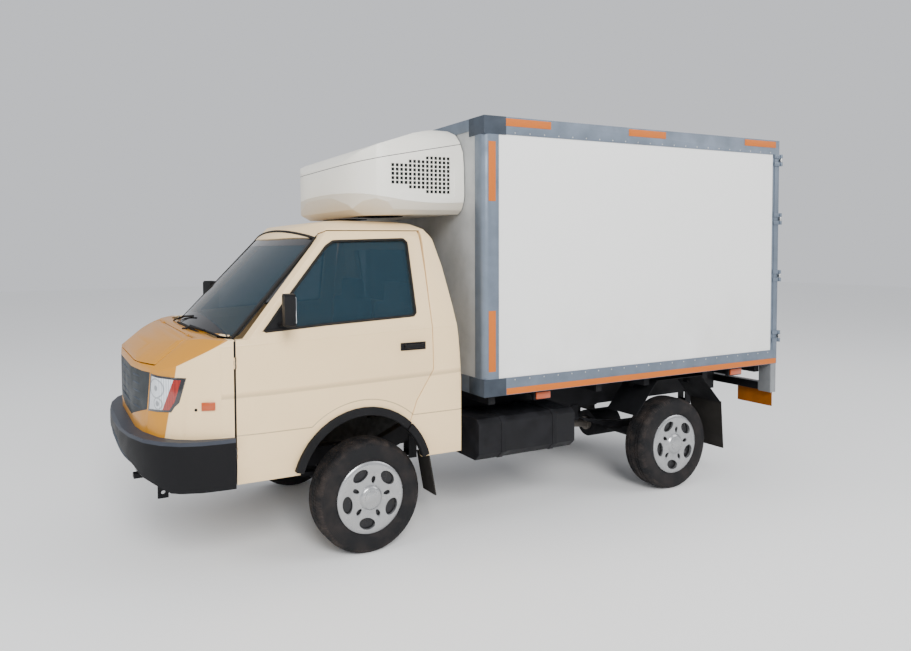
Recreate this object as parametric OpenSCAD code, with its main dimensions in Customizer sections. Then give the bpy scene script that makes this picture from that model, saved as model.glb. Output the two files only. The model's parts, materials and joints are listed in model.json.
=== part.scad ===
// Light refrigerated truck: short-nosed cab, ladder frame on leaf springs, insulated box body
// and a nose-mounted cooling unit. Millimetres, +X forward, +Y left, +Z up. The origin lies on
// the ground under the middle of the overall length. Modules are drawn in "axle frame", with
// x measured forward from the front axle, and placed() moves them to the part's own frame.

/* [Layout] */
// Distance between the two axles
wheelbase = 2500; // [2300:10:2900]
// Front axle to the front of the bumper
front_overhang = 1355; // [1330:5:1500]
// Distance between the wheel centre planes of one axle
track = 1310; // [1290:5:1400]
// Front axle back to the front face of the box
box_setback = 726; // [700:1:900]

/* [Wheels] */
// Outer diameter of the tyre
tyre_d = 672; // [620:1:700]
// Width of the tyre
tyre_w = 190; // [165:1:205]
// Diameter of the bead seat
bead_d = 381; // [355:1:390]
// Width of the rim between its flanges
rim_w = 150; // [125:1:160]
// Diameter of the silver wheel cover
cover_d = 432; // [405:1:440]
// Radius of the stub shafts that carry the wheels
stub_r = 20; // [16:0.5:24]

/* [Steering] */
// Wheel centre plane inboard to the kingpin
kingpin_inset = 120; // [115:1:130]
// Radius of the kingpin
kingpin_r = 15; // [12:0.5:18]
// Length of the steering arm behind the kingpin
arm_l = 130; // [110:1:150]
// Outer diameter of the steering wheel
steering_wheel_d = 400; // [360:5:420]

/* [Frame] */
// Overall width of the ladder frame
frame_w = 700; // [660:5:720]
// Width of the rail flanges
rail_flange = 60; // [50:1:70]
// Thickness of the rail metal
rail_t = 5; // [4:0.5:8]
// Height of the rails under the cab
rail_front_h = 110; // [90:1:112]
// Height of the rails behind the cab
rail_rear_h = 130; // [100:1:135]
// Top of the rails above the ground, behind the cab
rail_rear_top = 730; // [715:1:750]
// Top of the rails above the ground, under the cab
rail_front_top = 560; // [550:1:562]

/* [Cab] */
// Thickness of the cab's doors, pillars and walls
cab_wall = 45; // [35:1:50]
// Thickness of the floor pan, riser and bulkhead
pan_t = 20; // [12:1:25]
// Bottom edge of the sills above the ground
sill_z = 548; // [545:1:560]
// Top of the foot well floor above the ground
floor_z = 592; // [590:1:600]
// Top of the seat platform above the ground
platform_z = 860; // [850:1:880]
// Gap round the doors and the bonnet
shut_gap = 6; // [5:0.5:8]
// Thickness of the bonnet
bonnet_t = 20; // [12:1:30]
// Thickness of the glass
glass_t = 5; // [4:0.5:6]

/* [Box body] */
// Outer length of the box
box_l = 2753; // [2600:1:2950]
// Outer width of the box
box_w = 1700; // [1600:5:1850]
// Outer height of the box
box_h = 1725; // [1500:5:1900]
// Underside of the box above the ground
box_z = 876; // [860:1:900]
// Thickness of the insulated walls, roof and doors
box_wall = 70; // [50:1:90]
// Thickness of the insulated floor
box_floor_t = 80; // [60:1:100]
// Thickness of the aluminium edge profiles
edge_t = 5; // [3:0.5:6]
// Width of the aluminium edge profiles on the long sides
edge_w = 108; // [80:1:120]
// Width of the posts of the rear door frame
portal_w = 60; // [50:1:80]
// How far the door gear stands out behind the box
gear_depth = 56; // [50:1:70]

/* [Cooling unit] */
// Width of the cooling unit
unit_w = 1280; // [1100:5:1400]
// Length of the cooling unit ahead of the box
unit_l = 748; // [650:1:748]

/* [Hidden] */
$fn = 48;

// Clearances: a seat face of one piece on another, a turning pin in its bore, a knuckle's end play
seat_gap = 0.3;
pin_gap = 0.1;
end_gap = 1;

// Stations along the length, in axle frame
tail_x = -(box_setback + box_l + gear_depth);
axle_x = -(tail_x + front_overhang) / 2;
box_x1 = -box_setback;
box_x2 = box_x1 - box_l;
hub_z = tyre_d / 2;
wheel_y = track / 2;
kingpin_y = wheel_y - kingpin_inset;
rail_y = frame_w / 2;
spring_y = rail_y - rail_flange / 2;

// Plain vector helpers for outlines
function dir(v) = v / norm(v);
function corner_in(a, b, c, d) =
    let (n = [-dir(b - a)[1], dir(b - a)[0]], m = [-dir(c - b)[1], dir(c - b)[0]])
    b + (n + m) * d / (1 + n * m);
// Every edge of an anticlockwise outline moved inwards by d, or outwards where d is negative
function inset(p, d) =
    [for (i = [0:len(p) - 1]) corner_in(p[(i + len(p) - 1) % len(p)], p[i], p[(i + 1) % len(p)], d)];
// A half outline completed by its mirror image in the second or the first coordinate
function both_y(half) =
    concat(half, [for (i = [len(half) - 1:-1:0]) if (half[i][1] > 0) [half[i][0], -half[i][1]]]);
function both_x(half) =
    concat(half, [for (i = [len(half) - 1:-1:0]) if (half[i][0] > 0) [-half[i][0], half[i][1]]]);
// Points on an arc about c, from angle a to angle b in n steps
function arc(c, r, a, b, n) =
    [for (i = [0:n]) c + r * [cos(a + (b - a) * i / n), sin(a + (b - a) * i / n)]];

module placed() { translate([axle_x, 0, 0]) children(); }
module flipped() { mirror([0, 1, 0]) children(); }
module both_sides() { children(); flipped() children(); }
// Outline in x and z, drawn out along y from y1 to y2
module along_y(y1, y2) { translate([0, y2, 0]) rotate([90, 0, 0]) linear_extrude(y2 - y1) children(); }
// Outline in y and z, drawn out along x from x1 to x2
module along_x(x1, x2) { translate([x1, 0, 0]) rotate([90, 0, 90]) linear_extrude(x2 - x1) children(); }
// Bar with its two lowest and highest corners given
module bar(a, b) { translate(a) cube(b - a); }
// Round rod along y, x or z
module rod_y(x, y1, y2, z, r) { translate([x, y2, z]) rotate([90, 0, 0]) cylinder(r = r, h = y2 - y1); }
module rod_x(x1, x2, y, z, r) { translate([x1, y, z]) rotate([0, 90, 0]) cylinder(r = r, h = x2 - x1); }
module rod_z(x, y, z1, z2, r) { translate([x, y, z1]) cylinder(r = r, h = z2 - z1); }
// Round rod between any two points
module rod(a, b, r) {
    v = b - a;
    translate(a) rotate([0, acos(v[2] / norm(v)), atan2(v[1], v[0])]) cylinder(r = r, h = norm(v));
}

// ---- Cab outlines -------------------------------------------------------------------------------

// Windshield: middle of its lower edge, its slope and the radius that it curves across
glass_x = 930;
glass_z = 1322;
glass_rake = 44.7;
glass_r = 2400;
// Shoulders of the nose: a point on their middle line, their slope and their radius
shoulder_x = 963;
shoulder_z = 1466;
shoulder_rake = 38.5;
shoulder_r = 1850;
cab_rear_x = -615;

// Side view of the cab, with the sill at height low
function cab_side(low) = [
    [cab_rear_x, low], [1262, low], [1264, 840], [1278, 980], [1280, 1060], [1275, 1130], [1262, 1185],
    [1235, 1232], [1190, 1264], [1129, 1288], [1040, 1308], [952, 1322], [396, 1888], [310, 1927],
    [200, 1956], [80, 1973], [-57, 1980], [-250, 1972], [-370, 1952], [-436, 1914], [-472, 1856],
    [-515, 1690], [-552, 1450], [-586, 1150], [-608, 850]];
// Front view of the cab
function cab_front(low) = both_x([
    [780, low], [789, 640], [796, 750], [801, 900], [803, 1050], [801, 1200], [793, 1330], [662, 1838],
    [645, 1876], [610, 1916], [550, 1946], [450, 1965], [250, 1979], [0, 1983]]);
// Top view of the cab
cab_plan = both_y([
    [1283, 0], [1272, 250], [1240, 440], [1180, 600], [1110, 682], [1020, 740], [900, 775], [820, 788],
    [600, 802], [-550, 803], [-597, 790], [-617, 755]]);

// Solid block in the shape of the cab, with every face moved inwards by d
module cab_block(d, low = sill_z) {
    intersection() {
        along_y(-900, 900) polygon(inset(cab_side(low), d));
        along_x(-700, 1400) polygon(inset(cab_front(low), d));
        translate([0, 0, low - 100]) linear_extrude(1700) polygon(inset(cab_plan, d));
        union() {
            on_windshield() translate([0, 0, -glass_r]) rotate([0, 90, 0])
                cylinder(r = glass_r - d, h = 6000, center = true, $fn = 360);
            bar([-1000, -1000, 0], [1500, 1000, glass_z]);
        }
        union() {
            translate([shoulder_x, 0, shoulder_z]) rotate([0, shoulder_rake, 0])
                translate([0, 0, -shoulder_r]) rotate([0, 90, 0])
                cylinder(r = shoulder_r - d, h = 6000, center = true, $fn = 360);
            bar([-1000, -1000, 0], [glass_x - 130, 1000, 2100]);
        }
    }
}
// Core of the cab inside its side walls only
module side_core(d) {
    intersection() {
        along_x(-700, 1400) polygon(inset(cab_front(sill_z - 60), d));
        translate([0, 0, 400]) linear_extrude(1700) polygon(inset(cab_plan, d));
    }
}
// Frame of the windshield: x down the glass, z out of it
module on_windshield() { translate([glass_x, 0, glass_z]) rotate([0, glass_rake, 0]) children(); }

// Wheel arch in the side panels
arch_x = 64;
arch_z = 452;
arch_r = 400;
// Front and rear door edges and the hinge line
door_front_x = 810;
hinge_x = 812;
hinge_y = 788;
fender_edge_x = 820;
door_rear_x = -390;
belt_z = 1330;
door_y1 = 450;
door_outline = concat(
    [[door_front_x, sill_z], [door_front_x, 1312], [772, belt_z + 18], [252, 1884], [215, 1902],
     [door_rear_x + 6, 1902], [door_rear_x, 1650], [door_rear_x, 1071], [-277, 898], [-220, 738]],
    arc([arch_x, arch_z], arch_r, 134.8, 13.9, 12));
// Side window and the triangle ahead of it that carries the mirror
window_split_x = 520;
window_outline = [
    [662, 1357], [window_split_x, 1509], [232, 1816], [192, 1846], [-270, 1858], [-294, 1836],
    [-294, 1414], [-276, 1396]];
split_z = 1357 + (1396 - 1357) * (662 - window_split_x) / (662 + 276);
pane_outline = [
    [window_split_x, split_z], [window_split_x, 1509], [232, 1816], [192, 1846], [-270, 1858], [-294, 1836],
    [-294, 1414], [-276, 1396]];
sail_outline = [[662, 1357], [window_split_x, 1509], [window_split_x, split_z]];
// Windshield, x down the glass
windshield_outline = both_y([
    [-16, 0], [-26, 250], [-52, 450], [-108, 668], [-130, 686], [-822, 606], [-842, 584], [-806, 380],
    [-778, 180], [-770, 0]]);
rear_window_outline = both_x([
    [0, 1420], [440, 1420], [470, 1450], [452, 1760], [420, 1790], [0, 1790]]);
// Grille and lamps, in y and z
grille_outline = both_x([[150, 846], [486, 936], [522, 1142], [0, 1142]]);
lamp_outline = [[500, 932], [664, 946], [696, 1000], [718, 1130], [532, 1138]];
// Bonnet edges
bonnet_x = 985;
bonnet_y = 540;
bonnet_z = 1186;
bonnet_hinge_z = 1318;

// ---- Hinges -------------------------------------------------------------------------------------

// A hinge of height h stands on the origin: fixed barrels at both ends, a moving barrel between
barrel_r = 6;
hinge_pin_r = 3.5;
hinge_h = 60;
module hinge_fixed(reach) {
    for (z = [0, hinge_h * 2 / 3]) difference() {
        union() {
            rod_z(0, 0, z, z + hinge_h / 3 - end_gap, barrel_r);
            bar([0, -barrel_r, z], [reach, -4, z + hinge_h / 3 - end_gap]);
        }
        rod_z(0, 0, z - 1, z + hinge_h / 3, hinge_pin_r + pin_gap);
    }
}
module hinge_moving(reach) {
    rod_z(0, 0, hinge_h / 3, hinge_h * 2 / 3 - end_gap, barrel_r);
    bar([-reach, -barrel_r, hinge_h / 3], [0, 0, hinge_h * 2 / 3 - end_gap]);
    rod_z(0, 0, 0, hinge_h - end_gap, hinge_pin_r);
}
module hinge_room() { rod_z(0, 0, -end_gap, hinge_h, barrel_r + 2); }
// The two hinges of a cab door
module at_door_hinges() { for (z = [690, 1170]) translate([hinge_x, hinge_y, z]) children(); }
// The two hinges of the bonnet
module at_bonnet_hinges() {
    for (y = [-400, 400]) translate([bonnet_x - 3, y + hinge_h / 2, bonnet_hinge_z])
        rotate([90, 0, 0]) mirror([1, 0, 0]) children();
}

// ---- Cab ----------------------------------------------------------------------------------------

// Space inside the cab, behind the bulkhead
bulkhead_x = 955;
riser_x = 450;
module cab_inside() {
    intersection() {
        cab_block(cab_wall, sill_z - 200);
        along_y(-900, 900) polygon([[-700, platform_z], [riser_x, platform_z], [riser_x, floor_z],
            [bulkhead_x, floor_z], [bulkhead_x, 2050], [-700, 2050]]);
    }
}
// Space behind the grille, under the bonnet
module service_bay() {
    intersection() {
        cab_block(cab_wall, sill_z - 200);
        bar([bulkhead_x + pan_t, -900, floor_z], [1400, 900, 1500]);
    }
}
module cab_shell() {
    color("wheat") placed() {
        difference() {
            cab_block(0);
            cab_inside();
            service_bay();
            // Below the seat platform and the foot well
            bar([-700, -(803 - cab_wall), 0], [riser_x - pan_t, 803 - cab_wall, platform_z - pan_t]);
            bar([riser_x - pan_t - 1, -700, 0], [1150, 700, floor_z - pan_t]);
            rod_y(arch_x, -900, 900, arch_z, arch_r);
            both_sides() along_y(door_y1, 900) polygon(inset(door_outline, -shut_gap));
            // Room for the door's upper rear corner, which swings back as it leaves the opening
            both_sides() along_y(door_y1, 900) polygon([[door_rear_x - shut_gap, 1450], [-300, 1450],
                [-300, 1902 + shut_gap], [door_rear_x - shut_gap - 8, 1902 + shut_gap]]);
            both_sides() bar([door_front_x - 60, 640, 0], [fender_edge_x, 900, 1316]);
            on_windshield() translate([0, 0, -130]) linear_extrude(200)
                polygon(inset(windshield_outline, -seat_gap));
            along_x(-800, -300) polygon(inset(rear_window_outline, -seat_gap));
            along_x(1000, 1400) polygon(inset(grille_outline, -seat_gap));
            both_sides() along_x(900, 1400) polygon(inset(lamp_outline, -seat_gap));
            bar([bonnet_x - shut_gap, -bonnet_y - shut_gap, bonnet_z - shut_gap], [1400,
                bonnet_y + shut_gap, 1500]);
            both_sides() at_door_hinges() hinge_room();
            at_bonnet_hinges() hinge_room();
        }
        both_sides() at_door_hinges() hinge_fixed(22);
        at_bonnet_hinges() hinge_fixed(20);
    }
}
module bonnet() {
    color("orange") placed() {
        difference() {
            intersection() {
                cab_block(0);
                bar([bonnet_x, -bonnet_y, bonnet_z], [1400, bonnet_y, 1500]);
            }
            cab_block(bonnet_t);
            at_bonnet_hinges() hinge_room();
        }
        at_bonnet_hinges() hinge_moving(14);
    }
}
module windshield() {
    color("lightblue") placed() intersection() {
        difference() { cab_block(4); cab_block(4 + glass_t); }
        on_windshield() translate([0, 0, -130]) linear_extrude(200) polygon(windshield_outline);
    }
}
module rear_window() {
    color("lightblue") placed() intersection() {
        difference() { cab_block(8); cab_block(8 + glass_t); }
        along_x(-800, -300) polygon(rear_window_outline);
    }
}
module grille() {
    color("dimgray") placed() intersection() {
        difference() { cab_block(0); cab_block(16); }
        along_x(1000, 1400) polygon(grille_outline);
    }
}
module headlamps() {
    color("whitesmoke") placed() both_sides() intersection() {
        difference() { cab_block(-2); cab_block(cab_wall - 3); }
        along_x(900, 1400) polygon(lamp_outline);
    }
}
// Bumper: moulded skin round the nose, open behind
bumper_low = 500;
bumper_top = 806;
bumper_plan = both_y([
    [front_overhang, 0], [1346, 250], [1316, 440], [1262, 596], [1190, 694], [1100, 762], [1000, 796],
    [900, 808], [fender_edge_x, 811], [fender_edge_x, 600]]);
bumper_side = [
    [700, bumper_low], [1272, bumper_low], [1300, 560], [1338, 672], [1349, 735],
    [front_overhang, 762], [front_overhang, 786], [1336, bumper_top], [700, bumper_top]];
module bumper() {
    color("black") placed() difference() {
        intersection() {
            along_y(-900, 900) polygon(bumper_side);
            translate([0, 0, bumper_low]) linear_extrude(400) polygon(bumper_plan);
        }
        cab_block(-0.5);
        translate([0, 0, 0]) linear_extrude(sill_z) polygon(inset(cab_plan, 0));
        bar([1262 - 200, -520, bumper_low - 10], [1262 + 20, 520, bumper_top - 24]);
    }
}
// Dashboard with the steering column's shroud on the right-hand side
column_y = -365;
column_a = [580, column_y, 1195];
column_tilt = -35;
module on_column() { translate(column_a) rotate([0, column_tilt, 0]) rotate([0, 0, 180]) children(); }
module dashboard() {
    color("darkslategray") placed() difference() {
        union() {
            intersection() {
                cab_block(cab_wall + shut_gap);
                along_y(-745, 745) polygon([[700, 1040], [bulkhead_x - seat_gap, 980],
                    [bulkhead_x - seat_gap, 1262], [800, 1268], [700, 1190]]);
            }
            on_column() rod_z(0, 0, -250, -40, 34);
        }
        on_column() rod_z(0, 0, -200, 0, 12 + pin_gap);
    }
}
// Steering wheel: rim, three spokes, hub and its shaft in the shroud
module steering_wheel() {
    r = steering_wheel_d / 2 - 14;
    color("black") placed() on_column() {
        rotate_extrude() translate([r, 0]) circle(r = 13, $fn = 24);
        for (a = [-90, 30, 150]) rotate([0, 0, a]) rotate([0, 90, 0]) cylinder(r = 9, h = r);
        rod_z(0, 0, -28, 14, 42);
        rod_z(0, 0, -160, -20, 12);
    }
}
// Two seats: a cushion and a back with its headrest each
seat_y = 350;
seat_w = 500;
module seats() {
    color("slategray") placed() both_sides() {
        bar([-300, seat_y - seat_w / 2, platform_z + seat_gap], [190, seat_y + seat_w / 2,
            platform_z + 125]);
        along_y(seat_y - seat_w / 2, seat_y + seat_w / 2) polygon([[-300.5, platform_z + seat_gap],
            [-300.5, platform_z + 128], [-335, 1440], [-445, 1440], [-430, platform_z + seat_gap]]);
        along_y(seat_y - 130, seat_y + 130) polygon([[-345, 1440 + seat_gap], [-350, 1590], [-430, 1590],
            [-440, 1440 + seat_gap]]);
    }
}
// Cab door without its glass, left side
module door() {
    difference() {
        intersection() {
            cab_block(0);
            along_y(door_y1, 900) polygon(door_outline);
        }
        side_core(cab_wall);
        along_y(door_y1, 900) polygon(inset(window_outline, -seat_gap));
        at_door_hinges() hinge_room();
    }
    at_door_hinges() hinge_moving(22);
}
module door_glass() {
    difference() {
        intersection() {
            cab_block(10);
            along_y(door_y1, 900) polygon(pane_outline);
        }
        side_core(10 + glass_t);
    }
}
// Mirror: triangular foot in the window's front corner, short arm and head
mirror_at = [548, 900, 1478];
module wing_mirror() {
    difference() {
        intersection() {
            cab_block(2);
            along_y(door_y1, 900) polygon(inset(sail_outline, 0.5));
        }
        side_core(14);
    }
    rod([560, 776, 1388], [mirror_at[0], mirror_at[1] - 30, 1404], 11);
    intersection() {
        translate(mirror_at) rotate([0, 0, -12]) bar([-28, -65, -84], [30, 65, 84]);
        translate(mirror_at) sphere(r = 100);
    }
}
module door_left() { color("wheat") placed() door(); }
module door_right() { color("wheat") placed() flipped() door(); }
module door_glass_left() { color("lightblue") placed() door_glass(); }
module door_glass_right() { color("lightblue") placed() flipped() door_glass(); }
module mirror_left() { color("black") placed() wing_mirror(); }
module mirror_right() { color("black") placed() flipped() wing_mirror(); }

// ---- Wheels -------------------------------------------------------------------------------------

// Wheels are drawn about the y axis with the outer face towards +y
module about_y() { rotate([-90, 0, 0]) children(); }
module tyre() {
    r = tyre_d / 2;
    w = tyre_w / 2;
    b = bead_d / 2 + seat_gap;
    about_y() rotate_extrude($fn = 96) polygon([
        [b, -rim_w / 2 + 8], [b + 26, -rim_w / 2 - 2], [b + 60, -w], [r - 50, -w], [r - 16, -w + 12],
        [r - 4, -w + 26], [r, -w + 50], [r, w - 50], [r - 4, w - 26], [r - 16, w - 12], [r - 50, w],
        [b + 60, w], [b + 26, rim_w / 2 + 2], [b, rim_w / 2 - 8]]);
}
// Stadium-shaped hole along y at radius a, of half length l and half width h
module oval(a, l, h) {
    about_y() translate([a, 0, 0]) {
        for (s = [-1, 1]) translate([0, s * l, 0]) cylinder(r = h, h = 200);
        translate([-h, -l, 0]) cube([2 * h, 2 * l, 200]);
    }
}
hub_l = 50;
cover_y = rim_w / 2 + 4;
module rim() {
    b = bead_d / 2;
    difference() {
        union() {
            about_y() rotate_extrude($fn = 96) polygon([
                [b - 8, -rim_w / 2 + 10], [b + 12, -rim_w / 2 - 6], [b + 14, -rim_w / 2 - 3],
                [b, -rim_w / 2 + 7], [b, rim_w / 2 - 7], [b + 12, rim_w / 2 + 2], [cover_d / 2, cover_y],
                [cover_d / 2 - 2, cover_y + 5], [b - 20, cover_y + 11], [110, cover_y + 3],
                [70, cover_y + 5], [62, cover_y + 16], [30, cover_y + 22], [0, cover_y + 23],
                [0, cover_y - 8], [b - 24, cover_y - 6], [b - 8, rim_w / 2 - 12]]);
            rod_y(0, -hub_l, cover_y - 7, 0, 48);
            rod_y(0, -hub_l, -5, 0, 118);
        }
        rod_y(0, -hub_l - 1, hub_l, 0, stub_r + pin_gap);
        for (i = [0:4]) rotate([0, i * 72, 0]) oval(150, 20, 22);
        for (i = [0:4]) rotate([0, i * 72 + 36, 0]) oval(112, 4, 9);
    }
}
module wheel_place(x, side) {
    placed() translate([x, side * wheel_y, hub_z]) rotate([0, 0, side > 0 ? 0 : 180]) children();
}
module tyre_front_left() { color("#2a2523") wheel_place(0, 1) tyre(); }
module tyre_front_right() { color("#2a2523") wheel_place(0, -1) tyre(); }
module tyre_rear_left() { color("#2a2523") wheel_place(-wheelbase, 1) tyre(); }
module tyre_rear_right() { color("#2a2523") wheel_place(-wheelbase, -1) tyre(); }
module rim_front_left() { color("silver") wheel_place(0, 1) rim(); }
module rim_front_right() { color("silver") wheel_place(0, -1) rim(); }
module rim_rear_left() { color("silver") wheel_place(-wheelbase, 1) rim(); }
module rim_rear_right() { color("silver") wheel_place(-wheelbase, -1) rim(); }

// ---- Front axle and steering --------------------------------------------------------------------

eye_r = 28;
eye_h = 60;
lug_h = 30;
beam_h = 60;
beam_x = 34;
module front_axle() {
    color("#303030") placed() difference() {
        union() {
            bar([-beam_x, -(spring_y + 60), hub_z - beam_h / 2], [beam_x, spring_y + 60,
                hub_z + beam_h / 2]);
            both_sides() {
                bar([-20, spring_y + 50, hub_z - 22], [20, kingpin_y - 8, hub_z + 22]);
                rod_z(0, kingpin_y, hub_z - eye_h / 2, hub_z + eye_h / 2, eye_r);
            }
        }
        // The hollow sides of the I section
        for (s = [-1, 1]) bar([s > 0 ? 12 : -beam_x - 1, -spring_y - 40, hub_z - 18],
            [s > 0 ? beam_x + 1 : -12, spring_y + 40, hub_z + 18]);
        both_sides() rod_z(0, kingpin_y, hub_z - 50, hub_z + 50, kingpin_r + pin_gap);
    }
}
// Knuckle: fork round the axle's eye, kingpin, stub shaft and steering arm
module knuckle() {
    web_y = kingpin_y + eye_r + 6;
    collar_y = wheel_y - hub_l - 2;
    for (s = [-1, 1]) {
        z1 = hub_z + (s > 0 ? eye_h / 2 + end_gap : -eye_h / 2 - end_gap - lug_h);
        rod_z(0, kingpin_y, z1, z1 + lug_h, eye_r);
        bar([-24, kingpin_y, z1], [24, web_y + 18, z1 + lug_h]);
    }
    bar([-24, web_y, hub_z - eye_h / 2 - lug_h - end_gap], [24, web_y + 18,
        hub_z + eye_h / 2 + lug_h + end_gap]);
    rod_z(0, kingpin_y, hub_z - eye_h / 2 - 10, hub_z + eye_h / 2 + 10, kingpin_r);
    rod_y(0, web_y + 10, collar_y, hub_z, 36);
    rod_y(0, web_y + 10, wheel_y + hub_l - 3, hub_z, stub_r);
    difference() {
        union() {
            bar([-arm_l, kingpin_y - 12, arm_z], [0, kingpin_y + 12, arm_z + 18]);
            rod_z(-arm_l, kingpin_y, arm_z, arm_z + 18, 18);
        }
        rod_z(-arm_l, kingpin_y, arm_z - 1, arm_z + 20, 8 + pin_gap);
    }
}
arm_z = hub_z - eye_h / 2 - lug_h - end_gap;
module knuckle_left() { color("#3c3c3c") placed() knuckle(); }
module knuckle_right() { color("#3c3c3c") placed() flipped() knuckle(); }
// Tie rod under the steering arms, with a pin up into each arm
module tie_rod() {
    z = arm_z - 16;
    color("#3c3c3c") placed() {
        rod_y(-arm_l, -kingpin_y + 6, kingpin_y - 6, z, 11);
        both_sides() {
            rod_z(-arm_l, kingpin_y, z - 13, z + 13, 15);
            rod_z(-arm_l, kingpin_y, z, arm_z + 17, 8);
        }
    }
}

// ---- Frame, springs and drive -------------------------------------------------------------------

// Leaf pack: n arcs from the middle at height z, with ends at half length l raised by rise
leaf_t = 9;
function arc_r(l, rise) = (l * l + rise * rise) / (2 * rise);
function eye_rise(l, rise, n) = arc_r(l, rise) - sqrt(pow(arc_r(l, rise) - (n - 0.5) * leaf_t, 2) - l * l);
module leaf_pack(x, z, l, rise, n) {
    r = arc_r(l, rise);
    for (i = [0:n - 1]) along_y(spring_y - 28, spring_y + 28) intersection() {
        translate([x, z + r]) difference() {
            circle(r = r - i * leaf_t, $fn = 180);
            circle(r = r - (i + 1) * leaf_t - 0.01, $fn = 180);
        }
        translate([x - l * (n - (n - 1 - i) * 0.75) / n, z - 50]) square([2 * l * (n - (n - 1 - i) * 0.75)
            / n, 400]);
    }
    for (s = [-1, 1]) rod_y(x + s * l, spring_y - 28, spring_y + 28, z + eye_rise(l, rise, n), 17);
}
front_spring_l = 500;
front_spring_z = hub_z + beam_h / 2;
front_rise = 30;
front_leaves = 4;
rear_spring_l = 600;
rear_tube_r = 42;
rear_spring_z = hub_z + rear_tube_r + 8;
rear_rise = 95;
rear_leaves = 5;
module leaf_springs() {
    color("#262626") placed() both_sides() {
        leaf_pack(0, front_spring_z + seat_gap, front_spring_l, front_rise, front_leaves);
        leaf_pack(-wheelbase, rear_spring_z + seat_gap, rear_spring_l, rear_rise, rear_leaves);
    }
}
// Hanger: two cheeks beside the spring's eye, up into the rail above
module hanger(x, z) {
    for (y = [spring_y - 28 - 9 - seat_gap, spring_y + 28 + seat_gap])
        bar([x - 30, y, z - 26], [x + 30, y + 9, rail_low(x) + 12]);
}
kick_x1 = -260;
kick_x2 = -660;
rail_front_x = 1150;
bumper_x = 64;
rail_rear_x = box_x2 + bumper_x + seat_gap;
function rail_side(t) = [
    [rail_rear_x, rail_rear_top - rail_rear_h + t], [kick_x2, rail_rear_top - rail_rear_h + t],
    [kick_x1, rail_front_top - rail_front_h + t], [rail_front_x, rail_front_top - rail_front_h + t],
    [rail_front_x, rail_front_top - t], [kick_x1, rail_front_top - t], [kick_x2, rail_rear_top - t],
    [rail_rear_x, rail_rear_top - t]];
cab_mount_x = -500;
cross_xs = [1120, 640, -700, -1300, -1900, -3000, rail_rear_x + 20];
function rail_low(x) = x > kick_x1 ? rail_front_top - rail_front_h
    : x < kick_x2 ? rail_rear_top - rail_rear_h
    : rail_front_top - rail_front_h
        + (rail_rear_top - rail_rear_h - rail_front_top + rail_front_h) * (kick_x1 - x) / (kick_x1 - kick_x2);
function rail_mid(x) = x > kick_x1 ? rail_front_top - rail_front_h / 2 : rail_rear_top - rail_rear_h / 2;
// One rail with the hangers, mounts, bumper arm and towing lug it carries
module rail() {
    inner_y = rail_y - rail_flange;
    difference() {
        union() {
            difference() {
                along_y(inner_y, rail_y) polygon(rail_side(0));
                along_y(inner_y - 1, rail_y - rail_t) polygon(rail_side(rail_t));
            }
            for (s = [-1, 1]) {
                hanger(s * front_spring_l, front_spring_z + eye_rise(front_spring_l, front_rise,
                    front_leaves));
                hanger(-wheelbase + s * rear_spring_l, rear_spring_z
                    + eye_rise(rear_spring_l, rear_rise, rear_leaves));
            }
            // Rubber mounts and posts that carry the cab
            rod_z(560, spring_y, rail_front_top, floor_z - pan_t - seat_gap, 30);
            rod_z(1080, spring_y, rail_front_top, floor_z - pan_t - seat_gap, 30);
            bar([cab_mount_x - 40, spring_y - 25, 640], [cab_mount_x + 40, spring_y + 25,
                platform_z - pan_t - seat_gap]);
            // Bumper arm and towing lug
            bar([rail_front_x - 10, spring_y - 25, 520], [1282 - seat_gap, spring_y + 25, 546]);
            bar([rail_front_x - 60, spring_y - 8, 380], [rail_front_x, spring_y + 8,
                rail_front_top - rail_front_h + 2]);
        }
        rod_y(rail_front_x - 30, spring_y - 20, spring_y + 20, 412, 12.5);
    }
}
module frame_rails() { color("#1e1e1e") placed() both_sides() rail(); }
// Members that stand between the webs of the rails
module cross_members() {
    y = rail_y - rail_t - seat_gap;
    color("#1e1e1e") placed() for (x = cross_xs)
        bar([x - 20, -y, rail_mid(x) - 30], [x + 20, y, rail_mid(x) + 30]);
}
module engine() {
    color("#4a4a4a") placed() {
        bar([-240, -190, 400], [400, 190, 800]);
        bar([-640, -110, 430], [-240, 110, 640]);
        both_sides() bar([40, 190, 470], [120, rail_y - rail_flange - seat_gap, 540]);
    }
}
module exhaust() {
    y = -(rail_y + 130);
    pts = [[-560, -110 - seat_gap, 480], [-560, -210, 480], [-740, y, 520], [-880, y, 560]];
    out = [[-1420, y, 560], [-1640, y, 560], [-1760, y - 130, 560], [-1800, y - 270, 560]];
    color("dimgray") placed() {
        for (i = [0:2]) {
            rod(pts[i], pts[i + 1], 24);
            rod(out[i], out[i + 1], 22);
        }
        for (i = [1:2]) {
            translate(pts[i]) sphere(r = 29);
            translate(out[i]) sphere(r = 27);
        }
        rod_x(-1420, -880, y, 560, 85);
        for (x = [-1380, -940]) bar([x, -(rail_y + 60), 625], [x + 24, -rail_y - seat_gap, 700]);
    }
}
tank_y1 = rail_y + 70;
tank_y2 = 775;
tank_x1 = -740;
tank_x2 = -1512;
tank_low = 452;
tank_top = 716;
function tank_section(d) = [
    [tank_y1 + 40, tank_low], [tank_y2 - 45, tank_low], [tank_y2, tank_low + 45], [tank_y2, tank_top - 30],
    [tank_y2 - 30, tank_top], [tank_y1 + 30, tank_top], [tank_y1, tank_top - 30], [tank_y1, tank_low + 40]];
module fuel_tank() {
    color("#161616") placed() {
        along_x(tank_x2, tank_x1) polygon(tank_section(0));
        for (x = [tank_x2 + 150, tank_x1 - 210]) {
            along_x(x, x + 40) polygon(inset(tank_section(0), -4));
            bar([x, rail_y + seat_gap, 620], [x + 40, tank_y1 + 5, 700]);
        }
    }
}
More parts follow.
